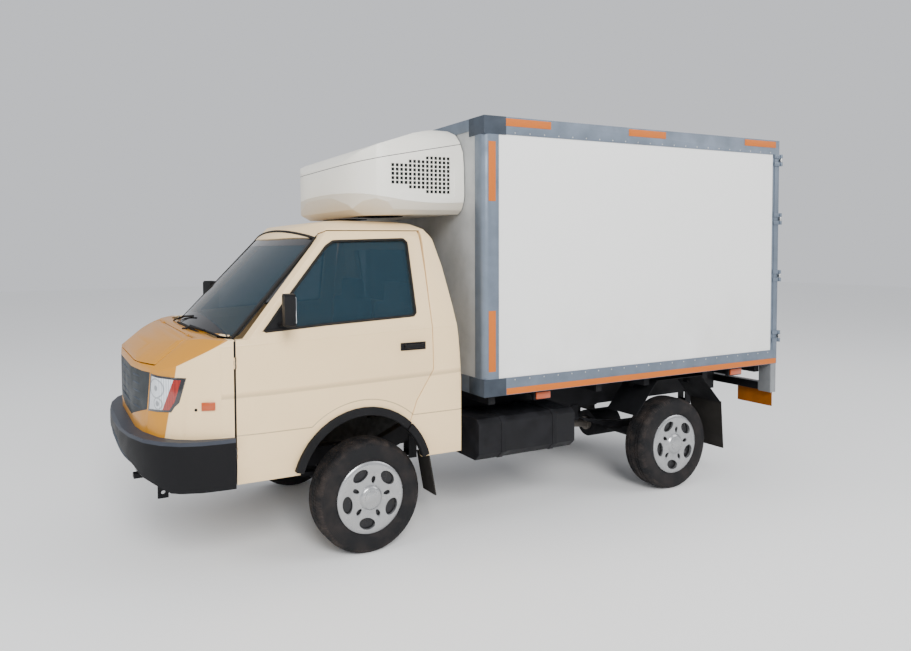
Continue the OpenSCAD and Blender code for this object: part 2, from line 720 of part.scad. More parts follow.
module propshaft() {
    a = [-640 - seat_gap - 12, 0, 520];
    b = [-wheelbase + 152 + 12 + seat_gap, 0, hub_z + 10];
    color("#555555") placed() {
        rod(a, b, 32);
        rod_x(a[0] - 8, a[0] + 12, 0, a[2], 52);
        rod_x(b[0] - 12, b[0] + 10, 0, b[2], 52);
    }
}
module rear_axle() {
    collar_y = wheel_y - hub_l - 2;
    color("#262626") placed() translate([-wheelbase, 0, 0]) {
        rod_y(0, -collar_y, collar_y, hub_z, rear_tube_r);
        rod_y(0, -(wheel_y + hub_l - 3), wheel_y + hub_l - 3, hub_z, stub_r);
        rod_x(-120, 152, 0, hub_z + 10, 105);
        both_sides() {
            rod_y(0, collar_y - 60, collar_y - 12, hub_z, 70);
            bar([-50, spring_y - 32, hub_z], [50, spring_y + 32, rear_spring_z]);
        }
    }
}

// ---- Box body -----------------------------------------------------------------------------------

box_y = box_w / 2;
box_top = box_z + box_h;
corner_r = 40;
edge_top_w = 75;
rear_edge_w = 50;
// Solid of the box, with every face moved inwards by d and its front corners rounded
module box_block(d) {
    translate([0, 0, box_z + d]) linear_extrude(box_h - 2 * d) union() {
        translate([box_x2 + d, -box_y + d]) square([box_l - corner_r - d, box_w - 2 * d]);
        translate([box_x1 - corner_r - 1, -box_y + corner_r]) square([corner_r + 1 - d,
            box_w - 2 * corner_r]);
        for (s = [-1, 1]) translate([box_x1 - corner_r, s * (box_y - corner_r)]) circle(r = corner_r - d);
    }
}
front_post_w = 111;
portal_low = box_z + 64;
portal_top = box_top - 72;
module box_frame() {
    e = edge_t;
    color("silver") placed() {
        difference() {
            box_block(0);
            box_block(e);
            // Windows in the sides, front, roof, underside and rear
            bar([box_x2 + rear_edge_w, -box_y - 1, box_z + edge_w], [box_x1 - front_post_w, box_y + 1,
                box_top - edge_w]);
            bar([box_x1 - e - 1, -box_y + 96, box_z + edge_w], [box_x1 + 1, box_y - 96,
                box_top - edge_top_w]);
            bar([box_x2 + 80, -box_y + edge_top_w, box_z - 1], [box_x1 - 80, box_y - edge_top_w,
                box_top + 1]);
            bar([box_x2 - 1, -box_y + portal_w, portal_low], [box_x2 + e + 1, box_y - portal_w,
                portal_top]);
        }
        // Rear door frame
        difference() {
            bar([box_x2 + e - 1, -box_y + e - 1, box_z + e - 1], [box_x2 + box_wall, box_y - e + 1,
                box_top - e + 1]);
            bar([box_x2 - 1, -box_y + portal_w, portal_low], [box_x2 + box_wall + 1, box_y - portal_w,
                portal_top]);
        }
        // Fixed halves of the door hinges
        both_sides() at_box_hinges() box_hinge_fixed();
    }
}
floor_top = box_z + box_floor_t;
roof_low = box_top - edge_t - box_wall;
wall_x1 = box_x1 - edge_t - box_wall;
module box_floor() {
    color("gainsboro") placed()
        bar([box_x2 + box_wall, -box_y + edge_t + box_wall, box_z + edge_t], [wall_x1,
            box_y - edge_t - box_wall, floor_top]);
}
module box_sides() {
    color("white") placed() both_sides()
        bar([box_x2 + box_wall, box_y - edge_t - box_wall, box_z + edge_t], [wall_x1, box_y - edge_t,
            roof_low]);
}
module box_front_wall() {
    color("white") placed() intersection() {
        box_block(edge_t + 0.2);
        bar([wall_x1, -box_y, box_z + edge_t], [box_x1, box_y, roof_low]);
    }
}
module box_roof() {
    color("white") placed() intersection() {
        box_block(edge_t + 0.2);
        bar([box_x2 + box_wall, -box_y, roof_low], [box_x1, box_y, box_top]);
    }
}
runner_z = rail_rear_top;
bearer_z = box_z - 70;
bearer_xs = [-840, -1280, -1730, -2180, -2775, -3080, -3360];
module box_bearers() {
    color("#1e1e1e") placed() {
        both_sides() bar([box_x2 + 40, rail_y - rail_flange, runner_z], [-790, rail_y, bearer_z]);
        for (x = bearer_xs) bar([x - 25, -770, bearer_z], [x + 25, 770, box_z + edge_t]);
    }
}
// Rear doors hang on pins at the outer corners of the box
box_hinge_x = box_x2 - 10;
box_hinge_y = box_y + 10;
box_hinge_h = 90;
box_barrel_r = 9;
box_pin_r = 5;
box_hinge_zs = [box_z + 170, box_z + 640, box_z + 1080, box_z + 1530];
module at_box_hinges() {
    for (z = box_hinge_zs) translate([box_hinge_x, box_hinge_y, z]) children();
}
// Barrels at both ends on a plate that wraps the corner post
module box_hinge_fixed() {
    h = box_hinge_h / 3;
    for (z = [0, 2 * h]) difference() {
        union() {
            rod_z(0, 0, z, z + h - end_gap, box_barrel_r);
            bar([0, -11, z], [70, -3, z + h - end_gap]);
        }
        rod_z(0, 0, z - 1, z + h, box_pin_r + pin_gap);
    }
}
module box_hinge_moving() {
    h = box_hinge_h / 3;
    rod_z(0, 0, h, 2 * h - end_gap, box_barrel_r);
    rod_z(0, 0, 0, 3 * h - end_gap, box_pin_r);
    bar([-box_barrel_r, -330, h], [-4, 0, 2 * h - end_gap]);
    bar([-5, -330, h], [10 - seat_gap, -portal_w - 30, 2 * h - end_gap]);
}
leaf_y1 = 8;
leaf_y2 = box_y - portal_w - 8;
module box_door() {
    bar([box_x2, leaf_y1, portal_low + 8], [box_x2 + box_wall - shut_gap, leaf_y2, portal_top - 8]);
}
// Hinge straps, two locking rods with their guides and handles, all on the outer face of a leaf
rod_ys = [170, 520];
module door_gear() {
    x = box_x2 - seat_gap;
    at_box_hinges() box_hinge_moving();
    for (y = rod_ys) {
        rod_z(x - 24, y, portal_low + 20, portal_top - 20, 11);
        for (z = [portal_low + 60, box_z + 480, box_z + 900, box_z + 1300, portal_top - 110])
            bar([x - 38, y - 28, z], [x, y + 28, z + 50]);
        bar([tail_x, y - 10, box_z + 560], [x - 22, y + 10, box_z + 600]);
        bar([tail_x, y - 10, box_z + 560], [tail_x + 12, y + 190, box_z + 600]);
        bar([tail_x + 4, y + 120, box_z + 545], [x, y + 160, box_z + 615]);
    }
}
module box_door_left() { color("white") placed() box_door(); }
module box_door_right() { color("white") placed() flipped() box_door(); }
module door_gear_left() { color("silver") placed() door_gear(); }
module door_gear_right() { color("silver") placed() flipped() door_gear(); }
// Evaporator under the roof, against the front wall
module evaporator() {
    color("gainsboro") placed() along_y(-520, 520) polygon([
        [wall_x1 - seat_gap, roof_low - 250], [wall_x1 - seat_gap, roof_low - seat_gap],
        [wall_x1 - 430, roof_low - seat_gap], [wall_x1 - 430, roof_low - 90],
        [wall_x1 - 300, roof_low - 220], [wall_x1 - 120, roof_low - 250]]);
}

// ---- Cooling unit -------------------------------------------------------------------------------

unit_y = unit_w / 2;
unit_x2 = box_x1 + seat_gap;
unit_x1 = box_x1 + unit_l;
unit_side = [
    [unit_x2, 2012], [unit_x1 - 122, 2004], [unit_x1 - 52, 2040], [unit_x1 - 6, 2126], [unit_x1, 2168],
    [unit_x1 - 4, 2270], [unit_x1 - 24, 2340], [unit_x1 - 70, 2392], [unit_x1 - 150, 2428],
    [unit_x1 - 262, 2464], [unit_x1 - 420, 2516], [unit_x1 - 560, 2552], [unit_x1 - 680, 2574],
    [unit_x2, 2582]];
unit_front = both_x([
    [unit_y - 90, 2000], [unit_y - 34, 2036], [unit_y - 8, 2086], [unit_y, 2130], [unit_y - 3, 2300],
    [unit_y - 14, 2400], [unit_y - 46, 2468], [unit_y - 100, 2524], [unit_y - 190, 2562], [0, 2590]]);
unit_plan = both_y([
    [unit_x1, 0], [unit_x1 - 10, 240], [unit_x1 - 36, 420], [unit_x1 - 80, 540], [unit_x1 - 140, 606],
    [unit_x1 - 220, 634], [unit_x1 - 320, unit_y], [unit_x2, unit_y]]);
// Grille in the side of the unit
vent_x1 = -205;
vent_x2 = -650;
vent_outline = [[vent_x2, 2112], [vent_x1, 2158], [vent_x1, 2318], [vent_x2 + 30, 2392], [vent_x2, 2380]];
vent_depth = 24;
module unit_housing() {
    color("ivory") placed() difference() {
        intersection() {
            along_y(-unit_y, unit_y) polygon(unit_side);
            along_x(unit_x2, unit_x1) polygon(unit_front);
            translate([0, 0, 1990]) linear_extrude(620) polygon(unit_plan);
        }
        both_sides() along_y(unit_y - vent_depth, unit_y + 1) polygon(vent_outline);
        // Fan mouths in the underside
        for (y = [-270, 270]) rod_z(unit_x1 - 320, y, 1990, 2030, 165);
    }
}
module unit_grilles() {
    color("#202020") placed() {
        both_sides() along_y(unit_y - vent_depth + seat_gap, unit_y - vent_depth + 10)
            polygon(inset(vent_outline, 0.5));
        for (y = [-270, 270]) rod_z(unit_x1 - 320, y, 2018, 2030 - seat_gap, 165 - 0.5);
    }
}

// ---- Guards, flaps and lamps ---------------------------------------------------------------------

guard_x = -wheelbase;
guard_line = [[455, 608], [250, 838], [-203, 838], [-415, 618]];
guard_t = 4;
guard_y1 = wheel_y - tyre_w / 2 - 30;
guard_y2 = 800;
module rear_mudguards() {
    outer = [for (p = guard_line) [guard_x + p[0], p[1]]];
    inner = [[guard_x - 411, 615], [guard_x - 201, 834], [guard_x + 248, 834], [guard_x + 452, 606]];
    color("#151515") placed() both_sides() {
        along_y(guard_y1, guard_y2) polygon(concat(outer, inner));
        bar([guard_x + 295, 600, 770], [guard_x + 315, 640, bearer_z - seat_gap]);
        bar([guard_x - 270, 600, 755], [guard_x - 250, 640, bearer_z - seat_gap]);
    }
}
module mud_flaps() {
    color("#101010") placed() both_sides() {
        along_y(645, 790) polygon([[-364, sill_z - seat_gap], [-373, sill_z - seat_gap], [-419, 300],
            [-410, 300]]);
        along_y(guard_y1, guard_y2) polygon([[guard_x - 415 - seat_gap, 622], [guard_x - 422, 622],
            [guard_x - 451, 262], [guard_x - 444, 262]]);
    }
}
rear_beam_z = 690;
plate_hole_y = 90;
module rear_bumper() {
    color("#1a1a1a") placed() {
        difference() {
            union() {
                bar([box_x2 + 4, -(box_y - 60), rear_beam_z - 30], [box_x2 + bumper_x, box_y - 60,
                    rear_beam_z + 30]);
                both_sides() bar([box_x2 + 4, box_y - 100, box_z - 225], [box_x2 + bumper_x, box_y - 2,
                    box_z - seat_gap]);
            }
            for (y = [-plate_hole_y, plate_hole_y]) rod_x(box_x2, box_x2 + bumper_x + 1, y, rear_beam_z, 3.5);
        }
    }
}
module rear_flaps() {
    color("chocolate") placed() both_sides()
        bar([box_x2 + 20, box_y - 306, 537], [box_x2 + 26, box_y - 18, box_z - 225 - seat_gap]);
}
module tail_lamps() {
    color("red") placed() both_sides()
        bar([box_x2 - 20, 560, rear_beam_z - 26], [box_x2 + 4 - seat_gap, 740, rear_beam_z + 26]);
}

frame_rails();
cross_members();
engine();
exhaust();
fuel_tank();
propshaft();
front_axle();
leaf_springs();
rear_axle();
cab_shell();
bumper();
grille();
headlamps();
windshield();
rear_window();
dashboard();
seats();
bonnet();
steering_wheel();
door_left();
door_right();
door_glass_left();
door_glass_right();
mirror_left();
mirror_right();
knuckle_left();
knuckle_right();
tie_rod();
tyre_front_left();
tyre_front_right();
tyre_rear_left();
tyre_rear_right();
rim_front_left();
rim_front_right();
rim_rear_left();
rim_rear_right();
box_frame();
box_floor();
box_sides();
box_front_wall();
box_roof();
box_bearers();
box_door_left();
box_door_right();
door_gear_left();
door_gear_right();
evaporator();
unit_housing();
unit_grilles();
rear_mudguards();
mud_flaps();
rear_bumper();
rear_flaps();
tail_lamps();
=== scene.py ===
"""Refrigerated box truck: panels, trim, glass, tyres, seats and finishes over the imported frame."""
import json
import math

import bpy
from mathutils import Euler, Matrix, Vector

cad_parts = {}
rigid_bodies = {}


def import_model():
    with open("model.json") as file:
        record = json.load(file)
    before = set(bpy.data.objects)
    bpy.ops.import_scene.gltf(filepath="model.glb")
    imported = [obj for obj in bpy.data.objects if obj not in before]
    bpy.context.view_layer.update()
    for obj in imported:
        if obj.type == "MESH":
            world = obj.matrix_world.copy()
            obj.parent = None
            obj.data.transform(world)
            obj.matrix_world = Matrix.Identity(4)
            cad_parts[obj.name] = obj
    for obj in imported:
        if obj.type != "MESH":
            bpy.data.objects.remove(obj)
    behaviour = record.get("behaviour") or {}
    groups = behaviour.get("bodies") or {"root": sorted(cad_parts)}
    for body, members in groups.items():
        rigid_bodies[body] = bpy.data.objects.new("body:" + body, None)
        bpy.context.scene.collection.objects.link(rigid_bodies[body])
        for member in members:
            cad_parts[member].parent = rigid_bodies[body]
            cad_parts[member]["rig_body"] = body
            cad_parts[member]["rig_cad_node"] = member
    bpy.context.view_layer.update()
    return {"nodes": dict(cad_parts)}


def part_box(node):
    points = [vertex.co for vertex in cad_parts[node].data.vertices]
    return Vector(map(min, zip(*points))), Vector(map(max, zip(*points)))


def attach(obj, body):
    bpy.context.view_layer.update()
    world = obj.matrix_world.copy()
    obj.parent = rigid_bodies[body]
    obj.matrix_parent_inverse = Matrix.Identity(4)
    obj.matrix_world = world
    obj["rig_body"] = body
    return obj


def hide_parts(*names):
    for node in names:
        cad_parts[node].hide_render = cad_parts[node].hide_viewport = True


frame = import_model()

bl_info = {
    "name": "Refrigerated box truck",
    "version": (1, 0, 0),
    "blender": (4, 5, 0),
    "location": "3D View > Sidebar > Truck",
    "description": "Models the panels, trim and finishes of a light refrigerated truck",
    "category": "Object",
}

SIDES = (("left", 1), ("right", -1))


def middle(node):
    """Middle of a node's box."""
    low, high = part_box(node)
    return tuple((a + b) / 2 for a, b in zip(low, high))


# Stations of the frame: the axles, the wheels and the box
AXLE_X, WHEEL_Y, HUB_Z = middle("tyre_front_left")
REAR_AXLE_X = middle("tyre_rear_left")[0]
TYRE_R = (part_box("tyre_front_left")[1][2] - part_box("tyre_front_left")[0][2]) / 2
TYRE_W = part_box("tyre_front_left")[1][1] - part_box("tyre_front_left")[0][1]
BOX_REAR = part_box("box_floor")[0][0] - 0.070
BOX_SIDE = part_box("box_sides")[1][1] + 0.005
BOX_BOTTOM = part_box("box_floor")[0][2] - 0.005


def at(x, y, z):
    """A point given in millimetres from the front axle."""
    return Vector((AXLE_X + x / 1000, y / 1000, z / 1000))


# ---- Materials -----------------------------------------------------------------------------------


class Channel:
    """A shader socket that adds Math nodes for the operators used on it."""

    def __init__(self, tree, socket):
        self.tree = tree
        self.socket = socket

    def math(self, operation, other=0.0, swap=False):
        node = self.tree.nodes.new("ShaderNodeMath")
        node.operation = operation
        values = (other, self) if swap else (self, other)
        for slot, value in zip(node.inputs, values):
            if isinstance(value, Channel):
                self.tree.links.new(value.socket, slot)
            else:
                slot.default_value = value
        return Channel(self.tree, node.outputs[0])

    def __add__(self, other): return self.math("ADD", other)
    def __radd__(self, other): return self.math("ADD", other, True)
    def __sub__(self, other): return self.math("SUBTRACT", other)
    def __rsub__(self, other): return self.math("SUBTRACT", other, True)
    def __mul__(self, other): return self.math("MULTIPLY", other)
    def __rmul__(self, other): return self.math("MULTIPLY", other, True)
    def __gt__(self, other): return self.math("GREATER_THAN", other)
    def __lt__(self, other): return self.math("LESS_THAN", other)
    def __abs__(self): return self.math("ABSOLUTE")
    def max(self, other): return self.math("MAXIMUM", other)
    def min(self, other): return self.math("MINIMUM", other)

    def ramp(self, low, high):
        """0 below low and 1 above high, clamped between."""
        step = (self - low) * (1 / (high - low))
        return step.max(0.0).min(1.0)


class Finish:
    """One material built of nodes on object coordinates."""

    def __init__(self, name, colour, roughness, **settings):
        self.material = bpy.data.materials.new(name)
        self.material.use_nodes = True
        self.tree = self.material.node_tree
        self.shader = self.tree.nodes["Principled BSDF"]
        self.colour = (*colour, 1.0)
        self.shader.inputs["Base Color"].default_value = self.colour
        self.shader.inputs["Roughness"].default_value = roughness
        for key, value in settings.items():
            self.shader.inputs[key.replace("_", " ")].default_value = value
        self.place = self.add("ShaderNodeTexCoord", {}, {}, "Object")

    def add(self, kind, settings, inputs, output=0):
        """A node with its settings and its inputs, which are values or links."""
        node = self.tree.nodes.new(kind)
        for key, value in settings.items():
            setattr(node, key, value)
        for key, value in inputs.items():
            if isinstance(value, Channel):
                self.tree.links.new(value.socket, node.inputs[key])
            else:
                node.inputs[key].default_value = value
        return Channel(self.tree, node.outputs[output])

    def axes(self):
        node = self.tree.nodes.new("ShaderNodeSeparateXYZ")
        self.tree.links.new(self.place.socket, node.inputs[0])
        return [Channel(self.tree, out) for out in node.outputs]

    def noise(self, scale, detail=3.0, stretch=(1, 1, 1)):
        place = self.add("ShaderNodeMapping", {}, {"Vector": self.place, "Scale": stretch})
        return self.add("ShaderNodeTexNoise", {}, {"Vector": place, "Scale": scale, "Detail": detail})

    def mix(self, factor, first, second):
        """Two colours mixed by a factor."""
        return self.add("ShaderNodeMix", {"data_type": "RGBA"}, {0: factor, 6: first, 7: second}, 2)

    def feed(self, key, channel):
        self.tree.links.new(channel.socket, self.shader.inputs[key])

    def bump(self, height, strength, distance):
        """Relief of a height channel, in metres."""
        self.feed("Normal", self.add("ShaderNodeBump", {},
                                     {"Height": height, "Strength": strength, "Distance": distance}))


def tint(colour, factor):
    return (*(c * factor for c in colour[:3]), 1.0)


def soiled(finish, low=0.75, rough=0.1, scale=6.0):
    """Uneven wear and dust: patches of darker colour and changed gloss."""
    patches = finish.noise(scale, 5.0).ramp(0.35, 0.7)
    finish.feed("Base Color", finish.mix(patches, finish.colour, tint(finish.colour, low)))
    base = finish.shader.inputs["Roughness"].default_value
    finish.feed("Roughness", patches * rough + base)
    return finish


WINDSHIELD_FOOT = 1.335


def paint_finish(name, colour):
    """Plain car paint with a coat and faint orange peel."""
    finish = Finish(name, colour, 0.42, Coat_Weight=0.25, Coat_Roughness=0.10)
    finish.bump(finish.noise(900.0, 1.0), 0.05, 0.0004)
    return finish


# Middle of the front wheel arch, in millimetres from the front axle, and radius of its pressed step
ARCH_X, ARCH_Z = 64, 452
ARCH_STEP = 0.482


def cab_finish(colours):
    """Cream paint with an orange nose, parted along the lamps and the shoulder of the bonnet, with painted
    shade in its pressed lines and gaps.
    """
    finish = paint_finish("cab_paint", colours.cream)
    x, y, z = finish.axes()
    shoulder = x + 1.91 * z - (AXLE_X + 3.3715)
    cheek = x + 0.146 * z - (AXLE_X + 1.2726)
    nose = shoulder.max(cheek).ramp(-0.0015, 0.0015) * (z < WINDSHIELD_FOOT)
    dust = finish.noise(5.0, 4.0).ramp(0.45, 0.75) * 0.2
    body = finish.mix(dust, finish.colour, tint(finish.colour, 0.88))
    # Pressed lines of the sides: a long recess and a step that runs round the arch, both darkened with
    # painted shade
    side = (abs(y) > 0.70) * (x < AXLE_X + 0.885)
    recess = z + 0.0203 * (x - AXLE_X) - 1.0329
    hollow = recess.ramp(-0.008, -0.003) * (1.0 - recess.ramp(0.004, 0.026)) * side
    arch = at(ARCH_X, 0, ARCH_Z)
    round_arch = ((x - arch.x) * (x - arch.x) + (z - arch.z) * (z - arch.z)).math("POWER", 0.5) - ARCH_STEP
    step = (z - 0.812).min(round_arch)
    line = (abs(step) < 0.003) * side * (x < AXLE_X + 0.812)
    shade = (hollow * 0.50 + line * 0.9).min(1.0)
    body = finish.mix(shade, body, tint(finish.colour, 0.45))
    # Painted shade, near black, in the gap ahead of the door and behind the bumper
    dark = (abs(x - (AXLE_X + 0.8115)) < 0.0035) * (z < WINDSHIELD_FOOT)
    dark = dark.max((z < 0.74) * (x > AXLE_X + 0.815))
    painted = finish.mix(nose, body, (*colours.orange, 1.0))
    finish.feed("Base Color", finish.mix(dark, painted, (0.02, 0.02, 0.02, 1)))
    belt = 1.0 - abs(z + 0.0294 * (x - AXLE_X) - 1.3124).ramp(0.0, 0.006)
    finish.bump(step.ramp(-0.003, 0.002) * -1.0 * side - hollow + belt * side * 0.5, 0.6, 0.006)
    return finish


def moulded_finish(name, colour, roughness=0.55):
    """Moulded plastic with a fine grain."""
    finish = Finish(name, colour, roughness, Specular_IOR_Level=0.15)
    finish.bump(finish.noise(650.0, 2.0), 0.25, 0.0006)
    return soiled(finish, 0.7, 0.12, 9.0)


def bumper_finish(colours):
    """Black plastic with a paler band of painted sky highlight along its upper chamfer."""
    finish = Finish("bumper_plastic", colours.plastic, 0.5, Specular_IOR_Level=0.12)
    z = finish.axes()[2]
    # Painted highlight: the upward-facing chamfer is made paler and bluer
    band = z.ramp(0.783, 0.786)
    patches = finish.noise(9.0, 4.0)
    highlight_colour = finish.mix(patches, (0.030, 0.034, 0.045, 1), (0.060, 0.066, 0.080, 1))
    finish.feed("Base Color", finish.mix(band, finish.colour, highlight_colour))
    finish.feed("Roughness", patches * 0.2 + 0.38)
    finish.bump(finish.noise(650.0, 2.0), 0.2, 0.0006)
    return finish


def metal_finish(name, colour, roughness, metallic=1.0):
    finish = Finish(name, colour, roughness, Metallic=metallic)
    finish.bump(finish.noise(60.0, 3.0, (1, 1, 12)), 0.06, 0.0005)
    return soiled(finish, 0.8, 0.15, 7.0)


def posts_finish(colours):
    """Black rear beam between bare silver corner posts."""
    finish = Finish("rear_posts", (0.006, 0.006, 0.007), 0.42, Specular_IOR_Level=0.2)
    corner = abs(finish.axes()[1]) > 0.745
    patches = finish.noise(15.0, 4.0)
    silver = finish.mix(patches, (0.20, 0.21, 0.22, 1), (0.33, 0.34, 0.35, 1))
    finish.feed("Base Color", finish.mix(corner, finish.colour, silver))
    finish.feed("Metallic", corner * 0.6)
    return finish


def wheel_finish():
    """Silver wheel cover, with painted shade on all that lies deeper than its face, seen through its
    windows.
    """
    finish = Finish("wheel_silver", (0.40, 0.405, 0.41), 0.30, Metallic=0.85)
    y = finish.axes()[1]
    # Painted shade: near black on everything deeper than the cover's face
    depth = abs(y).ramp(WHEEL_Y + 0.068, WHEEL_Y + 0.078)
    patches = finish.noise(20.0, 4.0).ramp(0.4, 0.7) * 0.3
    face = finish.mix(patches, finish.colour, tint(finish.colour, 0.75))
    finish.feed("Base Color", finish.mix(depth, (0.035, 0.035, 0.037, 1), face))
    finish.feed("Roughness", patches * 0.3 + 0.26)
    return finish


def panel_finish(colours):
    """Gel-coated white panel with faint waviness and dust towards its foot."""
    finish = Finish("white_panel", colours.white, 0.32, Coat_Weight=0.3, Coat_Roughness=0.15)
    z = finish.axes()[2]
    dust = (1.0 - z.ramp(BOX_BOTTOM, BOX_BOTTOM + 0.7)) * finish.noise(3.0, 5.0).ramp(0.3, 0.8) * 0.5
    finish.feed("Base Color", finish.mix(dust, finish.colour, (0.55, 0.53, 0.48, 1)))
    finish.bump(finish.noise(2.5, 1.0), 0.25, 0.004)
    return finish


def unit_finish(colours):
    """Off-white shell of the cooling unit: a dark joint between its halves, and shade below its side lip."""
    finish = Finish("unit_shell", colours.unit, 0.42)
    x, y, z = finish.axes()
    joint = abs(z + 0.19 * (x - AXLE_X) - 2.320) < 0.0022
    along = x - (AXLE_X - 0.55)
    below = 1.0 - (z - along * along * 0.2185 - 2.078).ramp(-0.003, 0.003)
    patches = finish.noise(5.0, 4.0).ramp(0.4, 0.7) * 0.3
    shell = finish.mix(patches, finish.colour, tint(finish.colour, 0.9))
    shell = finish.mix(below * 0.8, shell, (0.56, 0.50, 0.40, 1))
    finish.feed("Base Color", finish.mix(joint, shell, (0.05, 0.05, 0.05, 1)))
    finish.bump(1.0 - joint - below * 0.6, 0.6, 0.006)
    return finish


def tyre_finish(colours):
    """Brownish-black rubber, dusty on the tread."""
    finish = Finish("tyre_rubber", colours.rubber, 0.8, Specular_IOR_Level=0.2)
    x, y, z = finish.axes()
    front = x > (AXLE_X + REAR_AXLE_X) / 2
    across = x - (front * (AXLE_X - REAR_AXLE_X) + REAR_AXLE_X)
    up = z - HUB_Z
    radius = (across * across + up * up).math("POWER", 0.5)
    tread = radius.ramp(TYRE_R - 0.030, TYRE_R - 0.022)
    ribs = (up.math("ARCTAN2", across) * 110.0).math("SINE").ramp(-0.35, 0.35)
    rings = (radius * 700.0).math("SINE").ramp(-0.5, 0.5) * (1.0 - tread)
    dust = finish.noise(14.0, 5.0).ramp(0.40, 0.75) * (0.35 + tread * 0.65)
    finish.feed("Base Color", finish.mix(dust, finish.colour, (0.045, 0.035, 0.031, 1)))
    finish.bump(ribs * tread + rings * 0.08, 0.8, 0.005)
    return finish


def screen_finish(colours):
    """Windshield glass with a dark printed border."""
    low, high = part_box("windshield")
    finish = glass_finish("windshield_glass", colours)
    x, y, z = finish.axes()
    up = (z - low[2]) * (1 / (high[2] - low[2]))
    half = 0.700 - up * 0.085
    side = (abs(y) > half - 0.055)
    foot = (z + 0.055 * (y * y * 4.0) < low[2] + 0.085)
    head = (z > high[2] - 0.045)
    border = side.max(foot).max(head)
    printed = finish.tree.nodes.new("ShaderNodeBsdfPrincipled")
    printed.inputs["Base Color"].default_value = (0.012, 0.012, 0.014, 1)
    printed.inputs["Roughness"].default_value = 0.12
    blend = finish.tree.nodes.new("ShaderNodeMixShader")
    finish.tree.links.new(border.socket, blend.inputs[0])
    finish.tree.links.new(finish.shader.outputs[0], blend.inputs[1])
    finish.tree.links.new(printed.outputs[0], blend.inputs[2])
    output = finish.tree.nodes["Material Output"]
    finish.tree.links.new(blend.outputs[0], output.inputs[0])
    return finish


LAMP_OUTLINE = ((0.500, 0.932), (0.664, 0.946), (0.696, 1.000), (0.718, 1.130), (0.532, 1.138))


def lamp_finish():
    """Headlamp behind its lens: dark rim, two bright bowls and a red outer part, with painted reflection in
    light and dark stripes across the facets.
    """
    finish = Finish("headlamp", (0.80, 0.83, 0.86), 0.06, Coat_Weight=1.0, Coat_Roughness=0.02)
    y, z = [abs(axis) for axis in finish.axes()[1:]]
    inside = None
    for (y1, z1), (y2, z2) in zip(LAMP_OUTLINE, LAMP_OUTLINE[1:] + LAMP_OUTLINE[:1]):
        length = math.hypot(y2 - y1, z2 - z1)
        distance = (z - z1) * ((y2 - y1) / length) - (y - y1) * ((z2 - z1) / length)
        inside = inside.min(distance) if inside else distance
    bowls = None
    for y0, z0, radius in ((0.580, 1.065, 0.050), (0.592, 0.985, 0.030)):
        away = ((y - y0) * (y - y0) + (z - z0) * (z - z0)).math("POWER", 0.5)
        ring = 1.0 - abs(away - radius).ramp(0.0, 0.006)
        core = 1.0 - away.ramp(0.012, 0.018)
        both = ring.max(core)
        bowls = bowls.max(both) if bowls else both
    # Painted reflection: the facets are coloured in lighter and darker stripes
    facets = (y * 520.0).math("SINE") * 0.5 + 0.5
    bright = finish.mix(facets * 0.5, (0.72, 0.76, 0.80, 1), (0.16, 0.19, 0.22, 1))
    bright = finish.mix(bowls * 0.75, bright, (0.12, 0.13, 0.14, 1))
    red = (y - 0.35 * (z - 1.04) > 0.652).max(z - 0.6 * y < 0.562)
    deep = finish.mix(facets * 0.5, (0.22, 0.006, 0.003, 1), (0.40, 0.022, 0.004, 1))
    lit = finish.mix(red, bright, deep)
    finish.feed("Base Color", finish.mix(inside < 0.012, lit, (0.01, 0.01, 0.012, 1)))
    finish.bump(facets + bowls, 0.3, 0.002)
    return finish


def glass_finish(name, colours, alpha=0.62):
    finish = Finish(name, colours.glass, 0.04, Alpha=alpha, IOR=1.5, Specular_IOR_Level=0.35)
    film = finish.noise(8.0, 3.0).ramp(0.4, 0.8)
    finish.feed("Roughness", film * 0.05 + 0.03)
    return finish


def fabric_finish():
    """Grey woven seat cloth."""
    finish = Finish("seat_cloth", (0.16, 0.17, 0.19), 0.9, Sheen_Weight=0.3)
    x, y, z = finish.axes()
    weave = (x * 1400.0).math("SINE") * (y * 1400.0).math("SINE") + (z * 1400.0).math("SINE")
    finish.feed("Base Color", finish.mix(finish.noise(60.0, 3.0), finish.colour, (0.24, 0.25, 0.28, 1)))
    finish.bump(weave, 0.35, 0.0008)
    return finish


FINISHES = {}


